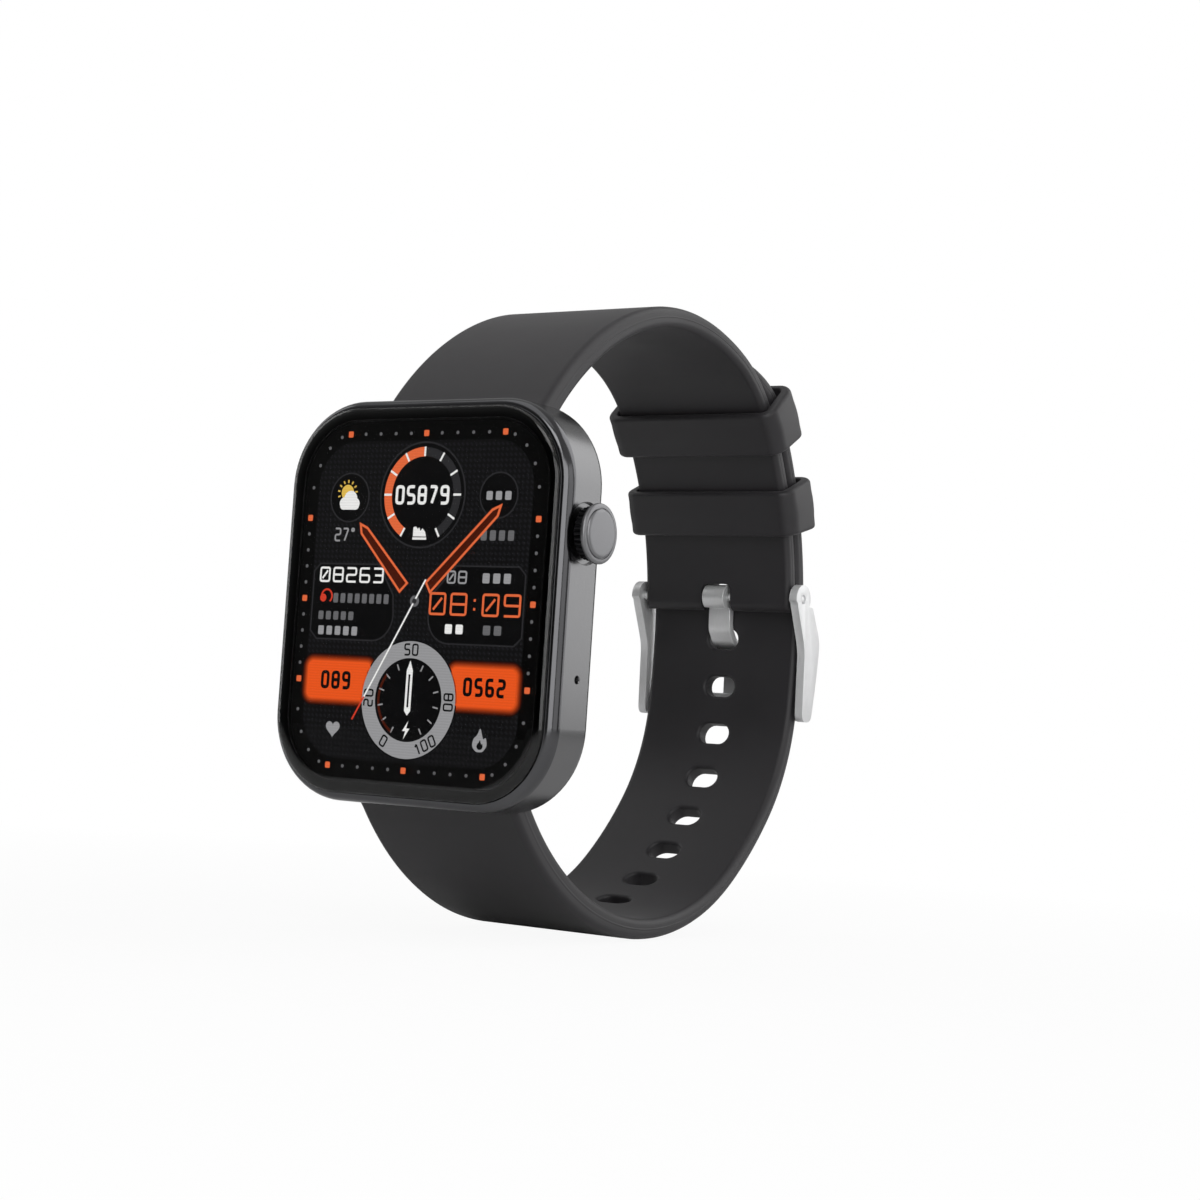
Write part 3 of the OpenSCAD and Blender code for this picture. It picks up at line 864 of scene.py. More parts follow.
@dataclass
class Case:
    """The alloy shell with its rear cover, window and glass.

    Attributes:
        width: From side to side.
        height: From the 6 o'clock to the 12 o'clock end.
        corner: Radius of the corners.
        rim: Plane of the rim round the glass.
        side_back: Where the flat side ends, towards the wrist.
        rear: Plane of the rear rim.
        bar: Place of a spring bar, as y and the distance from the middle along z.
        strap_recess: Radius of the recess behind a spring bar.
        recess_width: Width of the recess.
        strap_heading: Direction of the strap where it leaves the case, in degrees.
        crown_at: Axis of the crown, as y and z.
        sound_y: Row of the microphone and speaker holes.
        glass: Width, height and corner radius of the cover glass.
        contact_x: Places of the two charging contacts along X.
        contact_z: Their row.
        screw_x: Columns of the rear screws.
        screw_z: Rows of the rear screws.
    """

    width: float = 38.4
    height: float = 44.8
    corner: float = 9.6
    rim: float = -10.42
    side_back: float = -4.3
    rear: float = -1.9
    bar: tuple[float, float] = (-4.2, 20.0)
    strap_recess: float = 2.1
    recess_width: float = 22.4
    strap_heading: float = 53.0
    crown_at: tuple[float, float] = (-6.35, 8.0)
    sound_y: float = -6.3
    glass: tuple[float, float, float] = (36.5, 42.9, 8.65)
    contact_x: tuple[float, float] = (-2.2, 2.2)
    contact_z: float = -11.2
    screw_x: tuple[float, float] = (-14, 14)
    screw_z: tuple[float, float] = (-12.8, 12.8)

    def inset_rows(self, steps: list) -> np.ndarray:
        """Rows of outlines that keep an even distance from the outside of the case."""
        inset, y = np.array(steps, float).T
        return np.stack([self.width - 2 * inset, self.height - 2 * inset, self.corner - inset, y], 1)

    def shell_rows(self) -> tuple[np.ndarray, int]:
        """The shell's section as a closed run of outlines.

        It goes up the inside of the rim, down the polished slope, along the flat side, round
        to the back and in to the seat of the rear cover.

        Returns:
            The rows, and how many of the first belong to the polished slope.
        """
        slope_turn = np.linspace(0, 1, 9)
        slope = [
            (
                0.9 - 0.9 * math.sin(t * math.pi / 2),
                self.rim + 0.06 + 1.45 * (1 - math.cos(t * math.pi / 2)),
            )
            for t in slope_turn
        ]
        front = self.inset_rows([(0.97, -9.9), (0.97, self.rim + 0.05), (0.94, self.rim), *slope])
        side = self.inset_rows(
            [
                (0.0, self.side_back), (0.05, -4.0), (0.17, -3.72), (0.36, -3.45), (0.6, -3.22),
                (2.1, -2.02), (2.35, -1.92), (2.6, self.rear),
            ]
        )
        seat = np.array(
            [
                (33.5, 31.1, 6.25, self.rear), (33.24, 30.84, 6.12, self.rear - 0.12),
                (33.2, 30.8, 6.1, -3.38), (34.0, 31.4, 4.0, -4.0), (34.0, 31.4, 4.0, -7.0),
                (33.6, 40.0, 7.2, -7.05), (33.6, 40.0, 7.2, -9.85), (36.2, 42.6, 8.5, -9.9),
            ]
        )
        return np.concatenate([front, side, seat]), len(front) - 1

    def recess(self, side: int) -> Skin:
        """The recess for a strap end: round behind the spring bar and open along the strap."""
        turn = np.radians(np.arange(self.strap_heading + 90, self.strap_heading + 231, 7))
        behind = np.array(self.bar) + self.strap_recess * around(turn)
        heading = math.radians(self.strap_heading)
        along = np.array([math.cos(heading), math.sin(heading)])
        out = np.array([-math.sin(heading), math.cos(heading)])
        ahead = np.array(self.bar) + np.array([[6, -self.strap_recess], [6, 8]])
        top = np.array(self.bar) + 9 * along + (self.strap_recess + 0.2) * out
        outline = np.concatenate([behind, ahead, top[None]]) * np.array([1, side])
        return plate_across(outline, -self.recess_width / 2, self.recess_width / 2)

    def side_holes(self) -> Skin:
        """Crown pocket, microphone hole and speaker holes, each with a flared mouth."""
        half = self.width / 2
        crown = turned(
            [
                (0, 16), (1.95, 16), (1.95, half - 0.35), (3.3, half - 0.35), (3.3, half - 0.1),
                (3.42, half + 0.02), (3.42, half + 1), (0, half + 1),
            ],
            axis="x",
        )
        mouth = [(0, 0), (0.4, 0), (0.4, 2.45), (0.46, 2.57), (0.56, 2.62), (0.56, 3.5), (0, 3.5)]
        microphone = turned(np.array(mouth) + [0, half - 2.6], 32, axis="x")
        slots = []
        for z in np.arange(-10.5, -3.2, 1.8):
            hole = turned(np.array(mouth) * [1.2, -1] - [0, half - 2.6], 32, axis="x")
            slots.append(grid_skin(hole).moved(0, self.sound_y, z))
        return (
            grid_skin(crown).moved(0, *self.crown_at).joined(
                grid_skin(microphone).moved(0, self.sound_y, -7.6), *slots
            )
        )

    def build_shell(self, palette: Palette) -> None:
        """Builds and dresses the alloy shell."""
        rows, polished = self.shell_rows()
        grid = stacked_outlines(rows, 18)
        skin = grid_skin(grid, Ends.RING)
        band = np.repeat(np.arange(len(rows)), grid.shape[1])
        # The slope rows take the polished coating, whose darker tone is painted shade
        skin.finish = (band < polished).astype(int).tolist()
        shell = piece("case_shell", skin)
        shell.data.materials.append(palette.gunmetal)
        shell.data.materials.append(palette.bezel_painted_shade)
        for side in (1, -1):
            carve(shell, self.recess(side))
        carve(shell, self.side_holes())
        keep = np.zeros(len(shell.data.polygons), int)
        shell.data.polygons.foreach_get("material_index", keep)
        dress(shell, Body.WATCH, [palette.gunmetal, palette.bezel_painted_shade], ("case_body",))
        shell.data.polygons.foreach_set("material_index", np.minimum(keep, 1))
        weigh_normals(shell)

    def build_glass(self, palette: Palette) -> None:
        """The cover glass: a flat pane whose edge falls away as a quarter of an ellipse."""
        width, height, corner = self.glass
        edge_y, edge_fall, edge_reach = -10.62, 0.58, 1.7
        turn = np.linspace(0, math.pi / 2, 13)
        inset = 0.05 + edge_reach * (1 - np.cos(turn))
        y = edge_y - edge_fall * np.sin(turn)
        edge = np.stack([width - 2 * inset, height - 2 * inset, corner - inset, y], 1)
        base = np.array([(36.1, 42.5, 8.45, -10.1), (36.3, 42.7, 8.55, -10.13), (36.4, 42.8, 8.6, -10.2)])
        glass = piece("glass_pane", grid_skin(stacked_outlines(np.concatenate([base, edge]), 18)))
        dress(glass, Body.WATCH, [palette.glass], ("cover_glass",))
        weigh_normals(glass)

    def build_rear(self, palette: Palette) -> None:
        """The rear cover with its round rise, and the holes for window, screws and contacts."""
        rows = np.array(
            [
                (33.0, 30.6, 6.0, -3.2), (33.0, 30.6, 6.0, -1.98), (32.92, 30.52, 5.96, -1.82),
                (32.76, 30.36, 5.88, -1.73), (32.5, 30.1, 5.75, -1.7),
            ]
        )
        cover = piece("rear_shell", grid_skin(stacked_outlines(rows)))
        rise = [
            (0, -2.4), (13.5, -2.4), (13.5, -1.72), (13.36, -1.66), (13.24, -1.5), (13.2, -1.3),
            (13.12, -1.05), (12.95, -0.88), (12.7, -0.8), (0, -0.8),
        ]
        carve(cover, grid_skin(turned(rise, 96)), "UNION")
        window = [
            (0, -3.5), (7.4, -3.5), (7.4, -1.75), (9.05, -1.75), (9.05, -0.9), (9.14, -0.79), (9.14, 0.5),
            (0, 0.5),
        ]
        contact = grid_skin(
            turned([(0, -3.5), (1.2, -3.5), (1.2, -0.9), (1.32, -0.79), (1.32, 0.5), (0, 0.5)], 40)
        )
        screw = grid_skin(
            turned(
                [
                    (0, -3.5), (0.6, -3.5), (0.6, -2.4), (1.15, -2.4), (1.15, -1.82), (1.27, -1.69),
                    (1.27, 0.5), (0, 0.5),
                ],
                40,
            )
        )
        cutters = [contact.moved(x, 0, self.contact_z) for x in self.contact_x]
        cutters += [screw.moved(x, 0, z) for x in self.screw_x for z in self.screw_z]
        carve(cover, grid_skin(turned(window, 96)).joined(*cutters))
        dress(cover, Body.WATCH, [palette.rear_plastic], ("rear_cover",))
        weigh_normals(cover)
        turn = np.linspace(0, math.pi / 2, 7)
        pane = [(0, -1.78), (8.9, -1.78), (9.0, -1.7), (9.0, -0.5)]
        pane += np.stack([8.5 + 0.5 * np.cos(turn), -0.5 + 0.5 * np.sin(turn)], 1).tolist() + [(0, 0)]
        glass = piece("sensor_pane", grid_skin(turned(pane, 96)))
        dress(glass, Body.WATCH, [palette.smoked_glass], ("sensor_window",))
        weigh_normals(glass)
        pin = [(0, -3.8), (1.05, -3.8), (1.15, -3.7), (1.15, -1.1)]
        pin += np.stack([0.85 + 0.3 * np.cos(turn), -1.1 + 0.3 * np.sin(turn)], 1).tolist() + [(0, -0.8)]
        left, right = (grid_skin(turned(pin, 40)).moved(x, 0, self.contact_z) for x in self.contact_x)
        contacts = piece("contact_pins", left.joined(right))
        dress(contacts, Body.WATCH, [palette.gold], ("charging_contacts",))

    def build(self, palette: Palette) -> None:
        """Builds every part of the case that shows."""
        self.build_shell(palette)
        self.build_glass(palette)
        self.build_rear(palette)


# ---------------------------------------------------------------- crown


@dataclass
class Crown:
    """The fluted barrel and the turned disc on its end.

    Attributes:
        at: Its axis, as y and z.
        flutes: Grooves round the barrel.
        barrel: Outer radius of the barrel.
        disc: Outer radius of the disc.
        start: Where the barrel begins, along X.
    """

    at: tuple[float, float] = Case.crown_at
    flutes: int = 30
    barrel: float = 2.9
    disc: float = 3.25
    start: float = 19.4

    def build(self, palette: Palette) -> None:
        """Builds and dresses both pieces."""
        near, far = self.start, self.start + 1.15
        r = self.barrel
        ends = [(0, near), (r - 0.3, near), (r - 0.1, near + 0.03), (r, near + 0.1), (r, far), (0, far)]
        depth = np.array([0, 0, 0.1, 0.22, 0.22, 0])
        grid = turned(ends, self.flutes * 12, "x", self.flutes, depth)
        barrel = piece("crown_barrel", grid_skin(grid).moved(0, *self.at))
        dress(barrel, Body.CROWN, [palette.crown_black], ("crown_knurl",))
        ridge = [
            (0, 0), (3.12, 0), (self.disc - 0.03, 0.03), (self.disc, 0.1), (self.disc, 0.3),
            (self.disc - 0.04, 0.4), (self.disc - 0.13, 0.47), (self.disc - 0.25, 0.5), (2.76, 0.5),
            (2.72, 0.4), (2.66, 0.4), (2.62, 0.58), (2.55, 0.65), (2.42, 0.69), (2.2, 0.7), (0, 0.7),
        ]
        grid = turned(np.array(ridge) + [0, far], 96, "x")
        disc = piece("crown_disc", grid_skin(grid).moved(0, *self.at))
        dress(disc, Body.CROWN, [palette.crown_disc], ("crown_cap",))


# ---------------------------------------------------------------- strap


@dataclass(frozen=True)
class Chain:
    """A run of arcs in the plane of y and z.

    Attributes:
        start: y, z and heading in degrees.
        arcs: Pairs of radius and degrees turned clockwise, seen from +X.
    """

    start: tuple[float, float, float]
    arcs: tuple

    def corners(self) -> np.ndarray:
        """Poses where the arcs meet: each arc turns the heading about a centre on its right."""
        poses = [self.start]
        for radius, turn in self.arcs:
            y, z, heading = poses[-1]
            h, k = math.radians(heading), math.radians(heading - turn)
            poses.append(
                (
                    y + radius * (math.sin(h) - math.sin(k)), z + radius * (math.cos(k) - math.cos(h)),
                    heading - turn,
                )
            )
        return np.array(poses)

    def lengths(self) -> np.ndarray:
        """Distance along the chain of each corner."""
        return np.concatenate([[0], np.cumsum([r * math.radians(a) for r, a in self.arcs])])

    def length(self) -> float:
        """Length of the whole chain."""
        return float(self.lengths()[-1])

    def place(self, x: np.ndarray, n: np.ndarray, s: np.ndarray) -> np.ndarray:
        """Bends strap coordinates onto the chain.

        A point goes to the arc that holds its distance s, turns with it, and then moves n to
        the left of the heading. Past either end the chain runs straight on.

        Args:
            x: Distance across the strap.
            n: Height above the chain, away from the wrist.
            s: Distance along the chain.

        Returns:
            Places, with a last axis of three.
        """
        marks, poses = self.lengths(), self.corners()
        radii = np.array([r for r, _ in self.arcs])
        held = np.clip(s, 0, marks[-1])
        arc = np.clip(np.searchsorted(marks, held, side="right") - 1, 0, len(radii) - 1)
        first = np.radians(poses[arc, 2])
        now = first - (held - marks[arc]) / radii[arc]
        y = poses[arc, 0] + radii[arc] * (np.sin(first) - np.sin(now))
        z = poses[arc, 1] + radii[arc] * (np.cos(now) - np.cos(first))
        beyond = s - held
        y = y + beyond * np.cos(now) - n * np.sin(now)
        z = z + beyond * np.sin(now) + n * np.cos(now)
        return np.stack([x, y, z], -1)

    def raised(self, corner: int, height: float) -> tuple[float, float, float]:
        """A corner's pose moved to the left of its heading."""
        y, z, heading = self.corners()[corner]
        h = math.radians(heading)
        return (y - height * math.sin(h), z + height * math.cos(h), heading)


SHORT_CHAIN = Chain((-1.2, 21.4, 53.0), ((38, 30), (30, 46), (18, 30), (43, 34)))
STRAP_W = 22.0
STRAP_T = 2.2
STRAP_EDGE = 0.75
# Height of the free half over the half it lies on
LAP = STRAP_T + 0.1


def long_chain() -> Chain:
    """The long half's wrist side: it follows the short half, then closes on the lower bar.

    The end is linear in the last two radii, so two equations give them.

    Returns:
        The chain, from the tip to the case.
    """
    tip = SHORT_CHAIN.raised(2, LAP)
    arcs = tuple((r + LAP, a) for r, a in SHORT_CHAIN.arcs[2:]) + ((90, 8), (24, 34), (45, 14))
    y, z, heading = Chain(tip, arcs).corners()[-1]
    h = np.radians(heading - np.array([0, 26, 90]))
    steps = np.stack([-np.diff(np.sin(h)), np.diff(np.cos(h))])
    target = np.array([SHORT_CHAIN.start[0] - y, -SHORT_CHAIN.start[1] - z])
    radii = np.linalg.solve(steps, target)
    return Chain(tip, arcs + ((float(radii[0]), 26), (float(radii[1]), 64)))


@dataclass
class StrapBand:
    """One half of the strap as a bent band with rounded edges.

    Attributes:
        name: Name of the piece.
        node: CAD node it stands for.
        chain: Its wrist side.
        width: Width across.
        edge: Radius of its edges.
        lug_first: Whether the chain starts at the case.
        lug_t: Thickness where the band meets the case.
        taper: Length over which it thins to its even thickness.
        lug_reach: Distance from the chain's end to the spring bar.
        lug_r: Radius of the round end about the spring bar.
        seam: Height of the mould seam along its edges.
    """

    name: str
    node: str
    chain: Chain
    lug_first: bool
    width: float = STRAP_W
    edge: float = STRAP_EDGE
    lug_t: float = 3.1
    taper: float = 40.0
    lug_reach: float = 2.93
    lug_r: float = 1.8
    seam: float = 0.03

    def stations(self) -> np.ndarray:
        """Distances along the chain where the band gets a section, closer at its ends."""
        end = self.chain.length()
        close = np.array([0, 0.02, 0.05, 0.1, 0.17, 0.25, 0.33, 0.42, 0.5, 0.62, 0.75, 0.9, 1.05])
        lug = self.lug_reach + self.lug_r * np.sin(np.linspace(math.pi / 2, 0, 9))
        middle = np.arange(1.4, end - 1.3, 0.8)
        if self.lug_first:
            return np.concatenate([-lug, [-2, -1, 0, 0.7], middle, end - close[::-1]])
        nose = self.width / 2 * (1 - np.cos(np.linspace(0.45, math.pi / 2, 26)))
        nose = nose[nose > 1.05]
        body = np.arange(self.width / 2 + 0.6, end - 0.5, 0.8)
        return np.concatenate([close, nose, body, end + np.array([0, 1, 2]), end + lug[::-1]])

    def faces_at(self, s: np.ndarray) -> tuple[np.ndarray, np.ndarray]:
        """Heights of the two faces: even round the wrist, thicker at the case, round at its bar.

        Args:
            s: Distances along the chain.

        Returns:
            Height of the wrist side and of the outer side.
        """
        end = self.chain.length()
        from_case = s if self.lug_first else end - s
        share = np.clip(from_case / self.taper, 0, 1)
        thick = self.lug_t + (STRAP_T - self.lug_t) * share
        low, high = np.zeros_like(s), thick
        past = from_case < 0
        half = self.lug_t / 2 + (self.lug_r - self.lug_t / 2) * np.clip(-from_case / self.lug_reach, 0, 1)
        round_end = np.sqrt(np.clip(self.lug_r**2 - (-from_case - self.lug_reach) ** 2, 0, None))
        half = np.where(-from_case > self.lug_reach, round_end, half)
        middle = self.lug_t / 2
        low = np.where(past, middle - half, low)
        high = np.where(past, middle + half, high)
        if self.lug_first:
            left = np.clip(end - s, 0, STRAP_T / 2)
            pinch = STRAP_T / 2 - np.sqrt(
                np.clip((STRAP_T / 2) ** 2 - (STRAP_T / 2 - left) ** 2, 0, None)
            )
            low, high = low + pinch, high - pinch
        return low, high

    def section(self) -> tuple[np.ndarray, np.ndarray, np.ndarray, np.ndarray]:
        """The section's run of points, clockwise from the outer right edge.

        Returns:
            Share of the half width, side of the thickness, and the corner's unit x and n.
        """
        turn = np.linspace(0, math.pi / 2, 6)
        flat = np.linspace(1, -1, 13)[1:-1]
        side = np.array([0.35, 0.12, 0.0, -0.12, -0.35])
        one = np.ones_like
        runs = [
            (one(side), side[::-1], one(side), 0 * side),
            (one(turn), one(turn), np.cos(turn), np.sin(turn)), (flat, one(flat), 0 * flat, one(flat)),
            (-one(turn), one(turn), -np.cos(turn[::-1]), np.sin(turn[::-1])),
            (-one(side), side, -one(side), 0 * side),
            (-one(turn), -one(turn), -np.cos(turn), -np.sin(turn)),
            (-flat, -one(flat), 0 * flat, -one(flat)),
            (one(turn), -one(turn), np.cos(turn[::-1]), -np.sin(turn[::-1])),
        ]
        return tuple(np.concatenate(part) for part in zip(*runs))

    def flat_skin(self) -> Skin:
        """The band laid flat, in x, n and s.

        Each point keeps a fixed distance from the outline in plan, where the tip is a half
        circle, and a corner's height follows the quarter circle of its edge.

        Returns:
            The closed skin.
        """
        s = self.stations()[:, None]
        low, high = self.faces_at(s)
        across, level, ax, an = (v[None, :] for v in self.section())
        half = (high - low) / 2
        edge = np.minimum(self.edge, half)
        inset = edge * (1 - np.abs(ax))
        reach = self.width / 2
        if self.lug_first:
            width, lift = reach - inset, np.abs(an)
        else:
            inset = np.minimum(inset, s)
            width = np.sqrt(np.clip((reach - inset) ** 2 - (reach - np.minimum(s, reach)) ** 2, 0, None))
            lift = np.sqrt(np.clip(1 - (1 - inset / np.maximum(edge, 1e-6)) ** 2, 0, 1))
        proud = self.seam * np.clip(1 - np.abs(level) / 0.12, 0, 1) * np.abs(ax)
        x = across * (width + proud * (s > 1))
        n = (low + high) / 2 + level * (half - edge) + edge * np.sign(an) * lift
        s_all = np.broadcast_to(s, x.shape)
        return grid_skin(np.stack([x, n, s_all], -1))

    def bend(self, obj: bpy.types.Object) -> None:
        """Bends a flat band onto its chain."""
        count = len(obj.data.vertices)
        flat = np.empty(count * 3)
        obj.data.vertices.foreach_get("co", flat)
        x, n, s = (flat.reshape(-1, 3) / MM).T
        obj.data.vertices.foreach_set("co", (self.chain.place(x, n, s) * MM).ravel())
        obj.data.update()

    def lug_cutter(self) -> tuple[Skin, Skin]:
        """Bore for the spring bar and the window for the quick-release knob, laid flat."""
        at = -self.lug_reach if self.lug_first else self.chain.length() + self.lug_reach
        bore = rod_cutter(0.82, 12)
        knob = box_skin((5.4, 10), (-4, 1.2), (-1, 1))
        return bore.moved(0, self.lug_t / 2, at), knob.moved(0, self.lug_t / 2, at)


def stadium(length: float, width: float, grow: np.ndarray, steps: int = 12) -> np.ndarray:
    """Outlines of two half circles joined by straight sides, each grown by a margin.

    Args:
        length: Length along x.
        width: Width along s.
        grow: Margin of each outline.
        steps: Segments in a half circle.

    Returns:
        Array of outlines by points by two.
    """
    turn = np.linspace(-math.pi / 2, math.pi / 2, steps + 1)
    right = around(turn)
    unit = np.concatenate([right, -right])
    centre = np.repeat([[(length - width) / 2, 0.0], [-(length - width) / 2, 0.0]], steps + 1, 0)
    return centre[None] + unit[None] * (width / 2 + np.asarray(grow)[:, None, None])


@dataclass
class Strap:
    """Both halves of the strap and the two loops that hold the free end.

    Attributes:
        hole: Length across and width along of a size hole.
        pitch: Distance from hole to hole.
        tang_at: Distance from the tip to the hole that the tang is in.
        first: Number of the first hole, counted from the tang's.
        last: Number of the last hole.
        flare: How far a hole's rounded mouths reach outwards.
        pin_from_end: Distance from the buckle pin to the end of the short half.
        tang_slot: Width of the slot for the tang.
        keeper_h: Height of a loop along the strap.
        keeper_wall: Thickness of a loop.
        keeper_side: Thickness of a loop at the strap's edges.
        keeper_slack: Extra room under a loop's outer wall.
        keeper_gap: Room between a loop and the strap.
        keeper_upper: Place of the first loop along the last arc of the short half.
        keeper_pitch: Distance from loop to loop.
    """

    hole: tuple[float, float] = (4.4, 2.7)
    pitch: float = 6.3
    tang_at: float = 41.25
    first: int = -3
    last: int = 8
    flare: float = 0.42
    pin_from_end: float = 1.7
    tang_slot: float = 4.4
    keeper_h: float = 6.0
    keeper_wall: float = 1.0
    keeper_side: float = 1.35
    keeper_slack: float = 0.5
    keeper_gap: float = 0.3
    keeper_upper: float = 1.4
    keeper_pitch: float = 11.1

    def hole_cutter(self) -> Skin:
        """One size hole with rounded mouths: its margin shrinks as a quarter circle."""
        turn = np.linspace(0, math.pi / 2, 6)
        margin = self.flare * (1 - np.sin(turn))
        depth = self.flare * (1 - np.cos(turn))
        grow = np.concatenate([[self.flare], margin, margin[::-1], [self.flare]])
        level = np.concatenate([[-0.6], depth, STRAP_T - depth[::-1], [STRAP_T + 0.6]])
        flat = stadium(*self.hole, grow)
        n = np.broadcast_to(level[:, None], flat.shape[:2])
        return grid_skin(np.stack([flat[..., 0], n, flat[..., 1]], -1))

    def build_short(self, palette: Palette) -> None:
        """The half with the buckle: a bore for the pin and a slot for the tang."""
        band = StrapBand("strap_buckle_half", "strap_short", SHORT_CHAIN, True)
        obj = piece(band.name, band.flat_skin())
        at = SHORT_CHAIN.length() - self.pin_from_end
        for cutter in band.lug_cutter():
            carve(obj, cutter)
        bore = rod_cutter(0.65, 12)
        carve(obj, bore.moved(0, STRAP_T / 2, at))
        half = self.tang_slot / 2
        outline = filleted([(-half, -1.8), (-half, 4.0), (half, 4.0), (half, -1.8)], 0.9, 6)
        slot = np.stack([lifted(outline, n) for n in (-1.0, 3.5)])
        carve(obj, grid_skin(slot).moved(0, 0, at))
        self.close_up(band, obj, palette)

    def build_long(self, palette: Palette) -> None:
        """The half with the size holes."""
        band = StrapBand("strap_hole_half", "strap_long", long_chain(), False)
        obj = piece(band.name, band.flat_skin())
        for cutter in band.lug_cutter():
            carve(obj, cutter)
        places = self.tang_at + self.pitch * np.arange(self.first, self.last + 1)
        one = self.hole_cutter()
        carve(obj, one.moved(0, 0, places[0]).joined(*[one.moved(0, 0, s) for s in places[1:]]))
        self.close_up(band, obj, palette)

    def close_up(self, band: StrapBand, obj: bpy.types.Object, palette: Palette) -> None:
        """Bends, dresses and shades one half."""
        band.bend(obj)
        face_outwards(obj.data, False)
        dress(obj, Body.WATCH, [palette.silicone], (band.node,), crease=50)
        weigh_normals(obj, 70)

    def keeper_skin(self, middle: float) -> Skin:
        """A loop round both halves, centred on a distance along the short half's last arc.

        A rounded section is carried round a rounded rectangle in x and n, and the result is
        bent with the strap: across the wall the section is a rounded bar as high as the loop.

        Args:
            middle: Distance of its middle from the start of the last arc.

        Returns:
            The closed skin.
        """
        inner_low, inner_high = -self.keeper_gap, LAP + STRAP_T + self.keeper_gap + self.keeper_slack
        wall, half = self.keeper_wall, self.keeper_h / 2
        # Radii of the section's outer and inner corners
        soft, small = 0.5, 0.2
        turn = np.linspace(0, math.pi / 2, 7)
        quarter = around(turn)
        top = np.stack([wall - soft + soft * quarter[:, 0], half - soft + soft * quarter[:, 1]], 1)
        inside = np.stack([small - small * quarter[::-1, 0], half - small + small * quarter[::-1, 1]], 1)
        upper = np.concatenate([top, inside])
        lower = upper[::-1] * np.array([1, -1])
        crest = np.array(
            [[wall, -1.6], [wall + 0.05, -0.8], [wall + 0.07, 0], [wall + 0.05, 0.8], [wall, 1.6]]
        )
        section = np.concatenate([upper, lower, crest])
        width = STRAP_W + 2 * self.keeper_gap + 2 * section[:, 0] * self.keeper_side / wall
        height = inner_high - inner_low + 2 * section[:, 0]
        radius = STRAP_EDGE + section[:, 0] * 1.3
        loops = rounded_outline(width, height, radius, 8)
        x = loops[..., 0]
        n = loops[..., 1] + (inner_low + inner_high) / 2
        arc_start = SHORT_CHAIN.lengths()[3]
        s = np.broadcast_to(section[:, 1, None], x.shape) + arc_start + middle
        return grid_skin(SHORT_CHAIN.place(x, n, s), Ends.RING)

    def build_keepers(self, palette: Palette) -> None:
        """Both loops."""
        for name, node, body, middle in (
            ("loop_by_tip", "keeper_upper", Body.UPPER_LOOP, self.keeper_upper),
            ("loop_by_buckle", "keeper_lower", Body.LOWER_LOOP, self.keeper_upper + self.keeper_pitch),
        ):
            obj = piece(name, self.keeper_skin(middle))
            dress(obj, body, [palette.keeper_silicone], (node,), crease=60)

    def build(self, palette: Palette) -> None:
        """Builds the strap."""
        self.build_short(palette)
        self.build_long(palette)
        self.build_keepers(palette)


# ---------------------------------------------------------------- buckle


